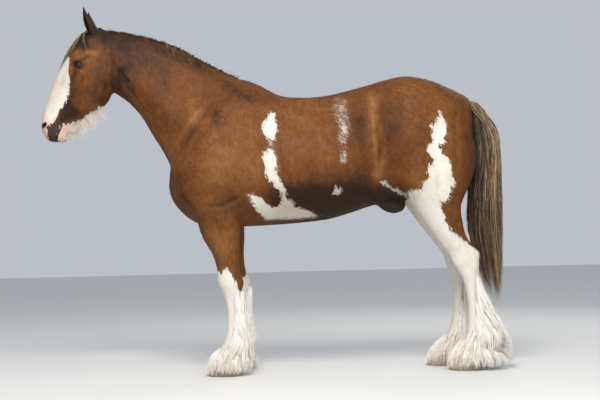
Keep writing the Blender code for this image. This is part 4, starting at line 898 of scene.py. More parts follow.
TONE_AND_SHADING_PATCHES = [Patch(*row) for row in (
    # Darker, partly darker hair on the crest and mostly painted shade in grooves, folds and below:
    # crest, throat, withers, elbow, belly band, flank and the backs of the thighs
    (-0.900, 2.010, 0.150, 0.070, 15, -0.80),
    (-0.560, 1.900, 0.260, 0.050, 28, -0.80),
    (-0.800, 1.860, 0.230, 0.130, 24, -0.50),
    (-0.700, 1.640, 0.180, 0.160, 30, -0.18),
    (-0.905, 1.745, 0.040, 0.100, 30, -0.85),
    (-0.860, 1.670, 0.045, 0.060, 40, -0.60),
    (-0.983, 2.020, 0.040, 0.050, 0, -0.80),
    (-0.250, 1.000, 0.110, 0.060, -15, -0.60),
    (-0.530, 1.150, 0.060, 0.120, 0, -0.35),
    (0.370, 1.015, 0.270, 0.100, -4, -1.60),
    (0.300, 0.900, 0.300, 0.060, -4, -0.60),
    (0.680, 1.000, 0.090, 0.075, 0, -1.30),
    (0.655, 1.420, 0.035, 0.170, 0, -0.50),
    (0.500, 1.430, 0.050, 0.170, 0, -0.60),
    (-0.318, 1.523, 0.030, 0.035, 0, -0.55),
    (-0.170, 1.630, 0.070, 0.030, 30, -0.45),
    (-0.835, 1.710, 0.130, 0.013, 56, -1.10),
    (-0.460, 1.430, 0.160, 0.018, -56, -0.60),
    (0.040, 1.030, 0.070, 0.070, 0, -0.90),
    (0.160, 1.030, 0.120, 0.075, 0, -0.90),
    (-0.250, 1.690, 0.200, 0.040, 30, -0.35),
    (0.720, 1.450, 0.055, 0.160, 0, -0.45),
    (-0.520, 1.040, 0.050, 0.030, 40, -0.60),
    (-0.330, 1.500, 0.030, 0.160, -22, -0.35),
    (1.150, 1.270, 0.060, 0.240, 0, -0.50),
    (-0.130, 1.640, 0.160, 0.090, 0, -0.20),
    # Lighter, painted highlight where the light falls on ridges and upper faces: shoulder, ribs
    # behind it, the fold by the hip, forearm, temple and cheek
    (-0.310, 1.220, 0.120, 0.170, 25, 0.45),
    (-0.130, 1.200, 0.090, 0.160, 0, 0.30),
    (0.578, 1.500, 0.016, 0.120, 0, 0.60),
    (0.600, 1.150, 0.045, 0.055, 0, 0.70),
    (-0.795, 1.670, 0.120, 0.011, 56, 0.80),
    (-0.505, 1.440, 0.150, 0.014, -56, 0.60),
    (0.588, 1.330, 0.016, 0.120, 0, 0.50),
    (0.612, 1.180, 0.022, 0.080, 20, 0.90),
    (-0.320, 0.800, 0.090, 0.160, 10, 0.35),
    (-1.070, 1.918, 0.050, 0.018, 10, 1.00),
    (-0.440, 1.520, 0.035, 0.120, -22, 0.35),
    (0.850, 1.120, 0.120, 0.100, 0, 0.20),
    (0.200, 1.560, 0.300, 0.080, 0, 0.12),
    # Face: dark round the eye and ear, partly darker hair and partly painted shade, painted shade
    # in the hollow between nostril and cheek, and a painted highlight on the crest of the cheek
    (-1.140, 1.850, 0.034, 0.026, 24, -1.20),
    (-1.115, 1.955, 0.045, 0.030, 20, -0.90),
    (-1.095, 1.885, 0.040, 0.012, -35, -0.90),
    (-1.165, 1.790, 0.014, 0.060, 24, -0.80),
    (-1.128, 1.790, 0.010, 0.045, 30, 0.35),
    (-1.075, 2.080, 0.080, 0.090, 24, -1.20),
    (-1.112, 2.165, 0.050, 0.060, 0, -1.10),
    (-1.170, 1.700, 0.035, 0.090, 24, -0.60),
    (-1.030, 1.650, 0.040, 0.030, 24, -0.50),
    (-1.290, 1.700, 0.060, 0.160, 24, -0.50),
    (-1.020, 1.780, 0.080, 0.130, 24, -0.35),
    (-1.175, 1.590, 0.060, 0.050, 24, -0.45),
    (-0.860, 1.850, 0.100, 0.150, 24, -0.18),
)]


def soft_patches(points, patches):
    """The sum of soft patches at each point, as seen from the side."""
    total = np.zeros(len(points))
    x = points[:, 0] - np.where(points[:, 2] < 1.0, stance_shift(points), 0)
    for patch in patches:
        one, two = pitched(x - patch.x, points[:, 2] - patch.z, patch.pitch)
        soft = patch.push * np.exp(-((one / patch.rx) ** 2) - (two / patch.rz) ** 2)
        total += soft * np.clip(1 + patch.side * points[:, 1] * 40, 0, 1)
    return total


def outline_distance(x, z, outline):
    """Signed distance from each point to a closed outline, less than 0 inside."""
    best = np.full(len(x), 9.0)
    inside = np.zeros(len(x), bool)
    for (x1, z1), (x2, z2) in zip(outline, outline[1:] + outline[:1]):
        best = np.minimum(best, line_distance(x, z, x1, z1, x2, z2))
        if z1 != z2:
            inside ^= ((z1 > z) != (z2 > z)) & (x < (x2 - x1) * (z - z1) / (z2 - z1) + x1)
    return np.where(inside, -best, best)


def white_distance(points):
    """Signed distance from each point to the nearest edge of its side's white marks."""
    found = np.full(len(points), 0.5)
    shifted = points[:, 0] - np.where(points[:, 2] < 1.0, stance_shift(points), 0)
    for marks, mine in ((LEFT_MARKS, points[:, 1] < 0), (RIGHT_MARKS, points[:, 1] >= 0)):
        x, z = shifted[mine], points[mine, 2]
        distance = np.full(mine.sum(), 0.5)
        for outline in marks.values():
            distance = np.minimum(distance, outline_distance(x, z, outline))
        found[mine] = distance
    x, z = points[:, 0], points[:, 2]
    lines = zip(STIFLE_RIM, STIFLE_RIM[1:])
    rim = np.minimum(*(line_distance(x, z, *one, *two) for one, two in lines))
    rim = np.where(points[:, 1] < -0.1, rim - 0.006, 0.5)
    sheath = np.linalg.norm((points - SHEATH.at) / (0.12, 0.07, 0.09), axis=1) < 1
    found = np.where(sheath, 0.05, np.minimum(found, rim))
    return np.clip(found, -WHITE_REACH, WHITE_REACH)


def lip_grey(points):
    """1 inside the dark grey hair between the blaze and the corner of the mouth, else 0."""
    distance = outline_distance(points[:, 0], points[:, 2], LIP_GREY)
    return np.clip((0.010 - distance) / 0.070, 0, 1)


def head_place(points):
    """How far along the head from the poll to the nose each point lies, and how deep."""
    from_poll = points - np.array(HEAD_START)
    return from_poll @ np.array(FACE_WAY), from_poll @ np.array(JAW_WAY)


def bareness(points):
    """How thin the hair is, from 0 to 1: on muzzle, lids and sheath."""
    along, deep = head_place(points)
    past = along - MUZZLE_START + 0.4 * np.maximum(deep - 0.03, 0)
    muzzle = np.clip(past / MUZZLE_FADE, 0, 1)
    muzzle *= (points[:, 0] < -1.15) & (points[:, 2] > 1.3)
    beside = points * (1, 0, 1) + np.abs(points) * (0, 1, 0)
    eye = np.linalg.norm(beside - np.array(EYE_CENTRE), axis=1)
    lids = np.clip((LIDS_REACH - eye) / LIDS_FADE, 0, 1)
    sheath = np.linalg.norm((points - SHEATH.at) / (0.10, 0.06, 0.07), axis=1)
    sheath = np.clip((1.1 - sheath) / 0.3, 0, 1) * (points[:, 2] < 0.99)
    return np.maximum(np.maximum(muzzle, lids), sheath)


def nearness(tree, points, reach):
    """1 for points on a surface, falling to 0 at a reach from it."""
    found = [tree.find_nearest(Vector(p), reach)[3] for p in points]
    return np.array([1 - d / reach if d is not None else 0.0 for d in found])


def hollow_shading(points):
    """How deep a point lies in a nostril or the mouth, from 0 to 1; it weights the painted shade
    there.
    """
    nostrils = sum(nearness(tree, points, NOSTRIL_REACH) for tree in nostril_trees)
    lips = nearness(lip_tree, points, LIP_REACH)
    return np.maximum(np.clip(1.6 * nostrils, 0, 0.85), 0.9 * lips)


def lie_of_coat(points, normals):
    """Which way the hair lies at each point of the skin."""
    side = np.sign(points[:, 1])[:, None]
    flow = np.tile((0.74, 0.0, -0.67), (len(points), 1)) + side * (0, 0.15, 0)
    for share, way in (
        (np.clip((-0.30 - points[:, 0]) / 0.30, 0, 1), (0.45, 0.0, -0.89)),
        (np.clip((0.98 - points[:, 2]) / 0.20, 0, 1), (0.10, 0.0, -1.0)),
        (np.clip((-normals[:, 2] - 0.55) / 0.2, 0, 1) * (points[:, 2] > 0.8), (1.0, 0.0, 0.1)),
        (np.clip((-0.93 - points[:, 0]) / 0.05, 0, 1), tuple(FACE_WAY)),
    ):
        flow += (np.array(way) - flow) * share[:, None]
    flow -= normals * np.sum(flow * normals, axis=1)[:, None]
    return flow / np.maximum(np.linalg.norm(flow, axis=1), 1e-6)[:, None]


def store(mesh, name, values, kind="FLOAT"):
    """Writes an attribute of the mesh's vertices."""
    made = mesh.attributes.new(name, kind, "POINT")
    made.data.foreach_set("value" if kind == "FLOAT" else "vector", np.ravel(values))


skin_points = read(skin.data)
skin_normals = read(skin.data, "normals")
skin_bare = bareness(skin_points)
in_feather = np.clip((skin_points[:, 2] - 0.16) / 0.20, 0.15, 1)
store(skin.data, "white", white_distance(skin_points))
store(skin.data, "roan", soft_patches(skin_points, ROAN_PATCHES))
# The tone holds darker hair on the crest and grey hair by the lips, and painted shade and highlight
# on the muscles, folds and hollows
tone = soft_patches(skin_points, TONE_AND_SHADING_PATCHES) - 1.6 * lip_grey(skin_points)
store(skin.data, "tone", tone)
store(skin.data, "hollow", hollow_shading(skin_points))
store(skin.data, "bare", skin_bare)
store(skin.data, "fur", np.clip(1 - 1.1 * skin_bare, 0, 1) * in_feather)
store(skin.data, "root", skin_points, "FLOAT_VECTOR")
store(skin.data, "lie", lie_of_coat(skin_points, skin_normals), "FLOAT_VECTOR")
skin.data.shade_smooth()

# The skin's own unwrap; the roots of all hair are found on it.
bpy.context.view_layer.objects.active = skin
skin.select_set(True)
skin.data.uv_layers.new(name="OFBake")
bpy.ops.object.mode_set(mode="EDIT")
bpy.ops.mesh.select_all(action="SELECT")
bpy.ops.uv.smart_project(angle_limit=math.radians(66), island_margin=0.002)
bpy.ops.object.mode_set(mode="OBJECT")

# One node group paints the coat and the skin alike: chestnut of changing depth, which also carries
# the painted shade and highlight of the tone, single white hairs in the roan parts, and white marks
# whose edges break up into streaks along the hair.
CHESTNUT = (0.136, 0.047, 0.0105, 1)
# The dark coat colour gives darker hair and painted shade; the pale one gives paler hair and
# painted highlight
DARK_COAT_AND_SHADE = (0.027, 0.0120, 0.0060, 1)
PALE_COAT_AND_HIGHLIGHT = (0.260, 0.120, 0.040, 1)
WHITE_COAT = (0.68, 0.645, 0.58, 1)
# A duller white for stains, and for painted shade on the white marks
STAINED_AND_SHADED_WHITE = (0.52, 0.46, 0.37, 1)
PINK_SKIN = (0.66, 0.44, 0.37, 1)
GREY_SKIN = (0.022, 0.019, 0.016, 1)
PORES = (0.09, 0.06, 0.05, 1)
# Painted shade for the insides of the nostrils and the groove between the lips
NOSTRIL_AND_LIP_SHADE = (0.030, 0.009, 0.007, 1)


def math_node(tree, operation, *values):
    links = dict(enumerate(values))
    return add_node(tree, "ShaderNodeMath", links, operation=operation).outputs[0]


def ramp(tree, value, low, high):
    """0 below low, 1 above high and a straight line between, also where high is the lesser."""
    links = {"Value": value, "From Min": low, "From Max": high}
    return add_node(tree, "ShaderNodeMapRange", links, clamp=True).outputs["Result"]


def vary(tree, base, pattern, weight):
    """The base, moved by a weight times how far a noise pattern is from its middle."""
    return math_node(tree, "MULTIPLY_ADD", math_node(tree, "SUBTRACT", pattern, 0.5), weight, base)


def attribute(tree, name, output="Fac"):
    return add_node(tree, "ShaderNodeAttribute", attribute_name=name).outputs[output]


coat = bpy.data.node_groups.new("coat_colours", "ShaderNodeTree")
for label, kind in (("Place", "Vector"), ("White", "Float"), ("Roan", "Float"), ("Tone", "Float")):
    coat.interface.new_socket(label, in_out="INPUT", socket_type="NodeSocket" + kind)
for label, kind in (("Colour", "Color"), ("White share", "Float")):
    coat.interface.new_socket(label, in_out="OUTPUT", socket_type="NodeSocket" + kind)
given = add_node(coat, "NodeGroupInput").outputs
streaks, hairs, ragged, clouds, dapples = (
    noise(coat, given["Place"], *settings)
    for settings in (
        (70.0, 3.0, 0.65, (1, 1, 0.3)),
        (260.0, 3.0, 0.70, (1, 1, 0.3)),
        (16.0, 4.0, 0.60),
        (5.0, 4.0, 0.60),
        (34.0, 3.0, 0.60, (1, 1, 0.6)),
    )
)

edge = vary(coat, vary(coat, given["White"], streaks, 0.066), ragged, 0.012)
mark = ramp(coat, edge, 0.0018, -0.0018)
roan = math_node(coat, "MULTIPLY", given["Roan"], math_node(coat, "MULTIPLY", ragged, 1.6))
near_edge = ramp(coat, given["White"], 0.028, 0.0)
roan = math_node(coat, "MULTIPLY_ADD", near_edge, 0.34, roan)
threshold = math_node(coat, "MULTIPLY_ADD", roan, -0.48, 0.80)
specks = ramp(coat, math_node(coat, "SUBTRACT", hairs, threshold), -0.03, 0.15)
white_share = math_node(coat, "MAXIMUM", mark, math_node(coat, "MULTIPLY", specks, 0.80))

# The depth starts at the tone with its painted shade and highlight, and noise moves it; it darkens
# below 0 and lightens above 0
depth = given["Tone"]
for pattern, weight in ((clouds, 1.3), (dapples, 0.85), (streaks, 1.0), (hairs, 1.3)):
    depth = vary(coat, depth, pattern, weight)
brown = mix_colours(coat, ramp(coat, depth, 0.0, 1.0), CHESTNUT, PALE_COAT_AND_HIGHLIGHT)
brown = mix_colours(coat, ramp(coat, depth, 0.0, -1.0), brown, DARK_COAT_AND_SHADE)
# Whites turn toward the duller white where noise puts stains, and where the tone is dark: there it
# is painted shade on the white
stain_and_shade = math_node(coat, "MULTIPLY_ADD", hairs, 0.4, clouds)
stain_and_shade = math_node(coat, "MULTIPLY_ADD", given["Tone"], -0.30, stain_and_shade)
pale = mix_colours(coat, ramp(coat, stain_and_shade, 0.70, 1.05), WHITE_COAT, STAINED_AND_SHADED_WHITE)
painted = mix_colours(coat, white_share, brown, pale)
add_node(coat, "NodeGroupOutput", {"Colour": painted, "White share": white_share})


def coat_colours(tree, place):
    """Places the group in a material and feeds it the piece's own attributes."""
    links = {label: attribute(tree, label.lower()) for label in ("White", "Roan", "Tone")}
    links["Place"] = place
    return add_node(tree, "ShaderNodeGroup", links, node_tree=coat).outputs


skin_material, nodes, shader = new_material("skin", 0.50, Specular_IOR_Level=0.15)
place = object_place(nodes)
colours = coat_colours(nodes, place)
pores = noise(nodes, place, 420.0, 3.0, 0.6)
pigment = mix_colours(nodes, colours["White share"], GREY_SKIN, PINK_SKIN)
pigment = mix_colours(nodes, math_node(nodes, "MULTIPLY", pores, 0.35), pigment, PORES)
bare = math_node(nodes, "MULTIPLY", attribute(nodes, "bare"), 0.85)
painted = mix_colours(nodes, bare, colours["Colour"], pigment)
# Painted shade darkens the insides of the nostrils and the groove between the lips
painted = mix_colours(nodes, attribute(nodes, "hollow"), painted, NOSTRIL_AND_LIP_SHADE)
wrinkles = noise(nodes, place, 150.0, 4.0, 0.65, (1, 1, 0.5))
strokes = noise(nodes, place, 330.0, 2.0, 0.6, (1, 1, 0.22))
height = math_node(nodes, "ADD", math_node(nodes, "MULTIPLY", wrinkles, 0.6), strokes)
locks = noise(nodes, place, 60.0, 3.0, 0.6, (1, 1, 0.3))
height = math_node(nodes, "MULTIPLY_ADD", locks, 2.2, height)
bump = add_node(nodes, "ShaderNodeBump", {"Height": height, "Strength": 0.35, "Distance": 0.002})
roughness = math_node(nodes, "MULTIPLY_ADD", pores, 0.18, 0.50)
feed(nodes, shader, Base_Color=painted, Normal=bump.outputs[0], Roughness=roughness)
skin.data.materials.clear()
skin.data.materials.append(skin_material)
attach(skin, "root")
flesh = ["head", "neck", "torso", "ear_left", "ear_right"]
flesh += [leg.replace("_", "leg_") + level for leg in LEGS for level in ("_upper", "_lower")]
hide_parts(*flesh)

# The eyes: moist dark brown globes with a level pupil under a clear, bulging cornea. Each
# fills the opening of its lids.
IRIS_COLOURS = ((0.010, 0.004, 0.002, 1), (0.035, 0.014, 0.006, 1))
EYE_RIM = (0.012, 0.008, 0.007, 1)
PUPIL = (0.002, 0.002, 0.004, 1)
CORNEA_BULGE = 0.05
BED_GAP = 0.0004


def flat_distance(tree, place, size):
    """How far each point lies from the axis of sight, by stretched measures."""
    links = {0: stretched(tree, place, size)}
    return add_node(tree, "ShaderNodeVectorMath", links, operation="LENGTH").outputs["Value"]


eye_material, nodes, shader = new_material(
    "eye", 0.12, Specular_IOR_Level=0.05, Coat_Weight=0.45, Coat_Roughness=0.02
)
local = attribute(nodes, "eye", "Vector")
parts = add_node(nodes, "ShaderNodeSeparateXYZ", {"Vector": local}).outputs
from_pupil = flat_distance(nodes, local, (1.0, 1.9, 0.0))
from_middle = flat_distance(nodes, local, (1.0, 1.0, 0.0))
links = {"X": math_node(nodes, "ARCTAN2", parts["Y"], parts["X"])}
links["Y"] = math_node(nodes, "MULTIPLY", from_middle, 0.6)
fibres = add_node(nodes, "ShaderNodeCombineXYZ", links).outputs[0]
iris = mix_colours(nodes, noise(nodes, fibres, 9.0, 4.0), *IRIS_COLOURS)
iris = mix_colours(nodes, ramp(nodes, from_middle, 0.72, 0.80), iris, EYE_RIM)
iris = mix_colours(nodes, ramp(nodes, from_pupil, 0.50, 0.44), iris, PUPIL)
feed(nodes, shader, Base_Color=iris)
for side, name in ((-1, "left"), (1, "right")):
    slit, up, sight = sight_axes(side)
    ball = bmesh.new()
    bmesh.ops.create_uvsphere(ball, u_segments=40, v_segments=28, radius=1.0)
    kept = [v.co.copy() for v in ball.verts]
    for v in ball.verts:
        bulge = 1 + CORNEA_BULGE * max(v.co.z - 0.75, 0) / 0.25
        x, y, z = v.co * (EYE_RADIUS - BED_GAP) * bulge
        v.co = eye_place(side) + slit * x + up * y + sight * z
    eye = add_object("eyeball_" + name, ball)
    store(eye.data, "eye", np.array(kept), "FLOAT_VECTOR")
    eye.data.shade_smooth()
    eye.data.materials.append(eye_material)
    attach(eye, "root")
    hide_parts("eye_" + name)

# The hooves: blocks of pale horn that grow down from the skin above them, striped down the
# wall and ringed by their growth. They flare to the ground and end in a narrow top.
HOOF_RINGS = 22
HOOF_LENGTH = 0.200
HOOF_HALF = 0.094
CORONET_HALF = 0.078
TOE_HEIGHT = 0.100
HEEL_HEIGHT = 0.045
RING_RELIEF = 0.0007
FORE_TOE, HIND_TOE = -0.408, 1.003
HORN_COLOURS = ((0.22, 0.15, 0.09, 1), (0.52, 0.42, 0.30, 1))
SOIL = (0.10, 0.075, 0.050, 1)

hoof_material, nodes, shader = new_material("horn", 0.42)
place = object_place(nodes)
stripes = noise(nodes, place, 120.0, 4.0, 0.6, (1, 1, 0.06))
growth = noise(nodes, place, 130.0, 2.0, 0.5, (0.05, 0.05, 1))
horn = mix_colours(nodes, ramp(nodes, stripes, 0.35, 0.65), *HORN_COLOURS)
height = add_node(nodes, "ShaderNodeSeparateXYZ", {"Vector": place}).outputs["Z"]
soiled = math_node(nodes, "MULTIPLY", ramp(nodes, height, 0.045, 0.0), noise(nodes, place, 40.0))
horn = mix_colours(nodes, soiled, horn, SOIL)
rise = math_node(nodes, "ADD", growth, math_node(nodes, "MULTIPLY", stripes, 0.5))
bump = add_node(nodes, "ShaderNodeBump", {"Height": rise, "Strength": 0.5, "Distance": 0.0012})
feed(nodes, shader, Base_Color=horn, Normal=bump.outputs[0])
for leg, stance in LEGS.items():
    lowest = leg_rows(stance)[-1]
    toe = (FORE_TOE if stance.rows is FORELEG else HIND_TOE) + stance.foot
    front, back, y = lowest.x1 - 0.004, lowest.x2 + 0.006, stance.side * stance.foot_y
    sizes = [(0.0, 0.0, 0.990), (0.03, 0.03, 1.0)]
    sizes += [(0.03 + 0.97 * k / HOOF_RINGS,) * 2 + (1.0,) for k in range(1, HOOF_RINGS + 1)]
    rings = []
    for k, (share, rise, plump) in enumerate(sizes):
        wide = (HOOF_HALF + (CORONET_HALF - HOOF_HALF) * share) * plump
        wide += RING_RELIEF if k % 2 else 0.0
        x1, x2 = toe + (front - toe) * share, toe + HOOF_LENGTH
        x2 += (back - toe - HOOF_LENGTH) * share
        z1, z2 = TOE_HEIGHT * rise, HEEL_HEIGHT * rise
        rings.append(ring(Section(x1, z1, x2, z2, wide, 0.46, 2.2, 2.5, y), 56))
    x1, z1, x2, z2 = front + 0.010, TOE_HEIGHT + 0.004, back - 0.010, HEEL_HEIGHT + 0.004
    rings.append(ring(Section(x1, z1, x2, z2, 0.068, 0.47, 2.1, 2.4, y), 56))
    hoof = bmesh.new()
    skin_rings(hoof, rings)
    hoof = add_object("hoof_wall_" + leg, hoof)
    hoof.data.shade_smooth()
    hoof.data.materials.append(hoof_material)
    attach(hoof, "root")
    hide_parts("hoof_" + leg)

# The short coat: fine flat tufts over the whole skin that lie along it, smallest on the face
# and the feet, none on bare skin. Each takes the colour of the skin at its root.
TUFTS_PER_AREA = 7600
TUFT_SIZE = (0.024, 0.0030, 0.0004)
# The least and most that a tuft is turned from the lie of the coat, in radians
TUFT_SWAY = ((-0.15, -0.050, -0.22), (0.15, 0.010, 0.22))
BAKE_PATCH = 0.003


def socket_tree(name, **inputs):
    """An empty Geometry Nodes tree with named inputs, and the sockets inside it."""
    tree = bpy.data.node_groups.new(name, "GeometryNodeTree")
    tree.interface.new_socket("Geometry", in_out="INPUT", socket_type="NodeSocketGeometry")
    for label, kind in inputs.items():
        tree.interface.new_socket(label, in_out="INPUT", socket_type="NodeSocket" + kind)
    tree.interface.new_socket("Geometry", in_out="OUTPUT", socket_type="NodeSocketGeometry")
    return tree, add_node(tree, "NodeGroupInput").outputs


def geo(tree, kind, links=(), **settings):
    """Adds a step of a Geometry Nodes tree and gives its first output."""
    return add_node(tree, "GeometryNode" + kind, links, **settings).outputs[0]


def named(tree, name, kind="FLOAT_VECTOR"):
    node = add_node(tree, "GeometryNodeInputNamedAttribute", {"Name": name}, data_type=kind)
    return node.outputs["Attribute"]


def keep(tree, geometry, name, value, domain="POINT", kind="FLOAT_VECTOR"):
    """Stores a value on the geometry by name."""
    links = {"Geometry": geometry, "Name": name, "Value": value}
    return geo(tree, "StoreNamedAttribute", links, data_type=kind, domain=domain)


def vector_math(tree, operation, *values):
    node = add_node(tree, "ShaderNodeVectorMath", operation=operation)
    for i, value in enumerate(values):
        fill(tree, node.inputs["Scale" if operation == "SCALE" and i == 1 else i], value)
    return node.outputs["Vector"]


def chance_of(tree, kind, low, high, seed):
    """A random value for each point or curve, from the sockets that its kind uses."""
    first, out = {"FLOAT_VECTOR": (0, 0), "FLOAT": (2, 1)}[kind]
    node = add_node(tree, "FunctionNodeRandomValue", {"Seed": seed}, data_type=kind)
    fill(tree, node.inputs[first], low)
    fill(tree, node.inputs[first + 1], high)
    return node.outputs[out]


def finish_tree(tree, geometry, material):
    """Realize Instances and the material, then the tree's output."""
    real = geo(tree, "RealizeInstances", {"Geometry": geometry})
    painted = geo(tree, "SetMaterial", {"Geometry": real, "Material": material})
    add_node(tree, "NodeGroupOutput", {0: painted})


def grown(name, source, tree, values, smooth=True):
    """The plain mesh that a tree makes of a source object."""
    grower = source.modifiers.new("grow", "NODES")
    grower.node_group = tree
    for item in tree.interface.items_tree:
        if item.in_out == "INPUT" and item.name in values:
            grower[item.identifier] = values[item.name]
    shown = source.evaluated_get(bpy.context.evaluated_depsgraph_get())
    mesh = bpy.data.meshes.new_from_object(shown)
    source.modifiers.remove(grower)
    made = put_in_scene(name, mesh)
    if smooth:
        mesh.shade_smooth()
    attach(made, "root")
    return made


def bake_corner(tree, geometry, local, patch):
    """Stores the map that colours are baked by: a small patch at the root's own place."""
    spot = vector_math(tree, "ADD", named(tree, "bake"), vector_math(tree, "SCALE", local, patch))
    return keep(tree, geometry, "OFBake", spot, "CORNER", "FLOAT2")


# How much darker or lighter than the skin the tufts are
TUFT_SHINE = ((0.86, 0.85, 0.84, 1), (1.16, 1.15, 1.12, 1))

tuft_material, nodes, shader = new_material("short_coat", 0.52, Specular_IOR_Level=0.15)
root = attribute(nodes, "root", "Vector")
colours = coat_colours(nodes, root)
glints = noise(nodes, root, 900.0, 1.0)
shine = mix_colours(nodes, ramp(nodes, glints, 0.30, 0.70), *TUFT_SHINE)
lifted = mix_colours(nodes, 1.0, colours["Colour"], shine, "MULTIPLY")
roughness = math_node(nodes, "MULTIPLY_ADD", glints, 0.25, 0.38)
feed(nodes, shader, Base_Color=lifted, Roughness=roughness)

tuft = bmesh.new()
long, wide, thick = TUFT_SIZE
middle = 0.42 * long
places = [(0, 0, -0.0006), (middle, wide / 2, 0.0004), (middle, -wide / 2, 0.0004)]
places += [(middle, 0, 0.0004 + thick), (long, 0, 0.0007)]
points = [tuft.verts.new(p) for p in places]
for a, b in ((1, 3), (3, 2), (2, 1)):
    tuft.faces.new((points[0], points[b], points[a]))
    tuft.faces.new((points[4], points[a], points[b]))
tuft = add_object("tuft", tuft)
store(tuft.data, "local", np.array(places) * (1 / long, 1 / wide, 0), "FLOAT_VECTOR")

tufts, given = socket_tree("tufts", Tuft="Object", Density="Float", Side="Float", Seed="Int")
position = geo(tufts, "InputPosition")
height = add_node(tufts, "ShaderNodeSeparateXYZ", {"Vector": position}).outputs["Y"]
on_side = math_node(tufts, "MULTIPLY", height, given["Side"])
on_side = math_node(tufts, "GREATER_THAN", on_side, 0.0)
density = math_node(tufts, "MULTIPLY", named(tufts, "fur", "FLOAT"), given["Density"])
links = {"Mesh": given["Geometry"], "Selection": on_side, "Density": density, "Seed": given["Seed"]}
spread = add_node(tufts, "GeometryNodeDistributePointsOnFaces", links).outputs
points = keep(tufts, spread["Points"], "bake", named(tufts, "OFBake"))
links = {"Primary Axis": spread["Normal"], "Secondary Axis": named(tufts, "lie")}
turned = add_node(tufts, "FunctionNodeAxesToRotation", links, primary_axis="Z", secondary_axis="X")
sway = chance_of(tufts, "FLOAT_VECTOR", *TUFT_SWAY, given["Seed"])
sway = add_node(tufts, "FunctionNodeEulerToRotation", {"Euler": sway}).outputs[0]
links = {"Rotation": turned.outputs[0], "Rotate By": sway}
turned = add_node(tufts, "FunctionNodeRotateRotation", links, rotation_space="LOCAL").outputs[0]
size = chance_of(tufts, "FLOAT", 0.7, 1.25, given["Seed"])
size = math_node(tufts, "MULTIPLY", named(tufts, "size", "FLOAT"), size)
shape = add_node(tufts, "GeometryNodeObjectInfo", {"Object": given["Tuft"]}).outputs["Geometry"]
links = {"Points": points, "Instance": shape, "Rotation": turned, "Scale": size}
laid = geo(tufts, "InstanceOnPoints", links)
laid = geo(tufts, "RealizeInstances", {"Geometry": laid})
laid = bake_corner(tufts, laid, named(tufts, "local"), BAKE_PATCH)
finish_tree(tufts, laid, tuft_material)
on_face = np.clip((-0.92 - skin_points[:, 0]) / 0.12, 0, 1) * (skin_points[:, 2] > 1.3)
on_leg = np.clip((0.75 - skin_points[:, 2]) / 0.35, 0, 1)
store(skin.data, "size", 1 - 0.55 * np.maximum(on_face, 0.8 * on_leg))
for side, name in ((-1, "left"), (1, "right")):
    values = {"Tuft": tuft, "Density": TUFTS_PER_AREA, "Side": float(side), "Seed": 11 + side}
    fur = grown("short_coat_" + name, skin, tufts, values, smooth=False)
bpy.data.objects.remove(tuft)

# The long hair: mane, forelock, beard, tail, and the feather that covers the hooves. Guide
# lines run from the skin, and each carries a lock of fine tapered strands that follow it.
SEED = 5
Guide = namedtuple("Guide", "path out wide thick shade")


def guide_source(name, guides, tip_light=0.0):
    """A mesh of the guides as lines, with what their strands need stored at each point."""
    bm = bmesh.new()
    values = {key: [] for key in ("across", "out", "shade", "bake", "root")}
    for guide in guides:
        path = [Vector(p) for p in guide.path]
        last = len(path) - 1
        bake, root = root_place(path[1] if last > 1 else path[0])
        verts = [bm.verts.new(p) for p in path]
        for one, two in zip(verts, verts[1:]):
            bm.edges.new((one, two))
        for i, p in enumerate(path):
            ahead = path[min(i + 1, last)] - path[max(i - 1, 0)]
            across = ahead.cross(Vector(guide.out[i])).normalized()
            out = across.cross(ahead).normalized()
            share = i / last
            full = (0.55 + 1.1 * share**0.6) * (1 - 0.82 * share**2.5)
            values["across"].append(across * guide.wide * full)
            values["out"].append(out * guide.thick * full)
            shade = guide.shade[i] if isinstance(guide.shade, list) else guide.shade
            values["shade"].append(shade + 0.22 * share * tip_light)
            values["bake"].append((*bake, 0.0))
            values["root"].append(root)
    mesh = bpy.data.meshes.new(name)
    bm.to_mesh(mesh)
    bm.free()
    for key, rows in values.items():
        store(mesh, key, np.array(rows), "FLOAT" if key == "shade" else "FLOAT_VECTOR")
    return put_in_scene(name, mesh)


def root_place(point):
    """The place on the skin's unwrap nearest to a point, and the point of the skin there."""
    found, _, face, _ = skin_tree.find_nearest(point)
    loops = skin.data.polygons[face].loop_indices
    corners = [skin.data.uv_layers["OFBake"].data[i].uv for i in loops]
    return sum(corners, Vector((0, 0))) / len(corners), found


skin_tree = BVHTree.FromPolygons(
    [v.co for v in skin.data.vertices], [p.vertices for p in skin.data.polygons]
)
STRAND_INPUTS = dict(
    Strands="Int", Points="Int", Thickness="Float", Waves="Float", Shortest="Float",
    Mottle="Float", Ragged="Float", Seed="Int",
)


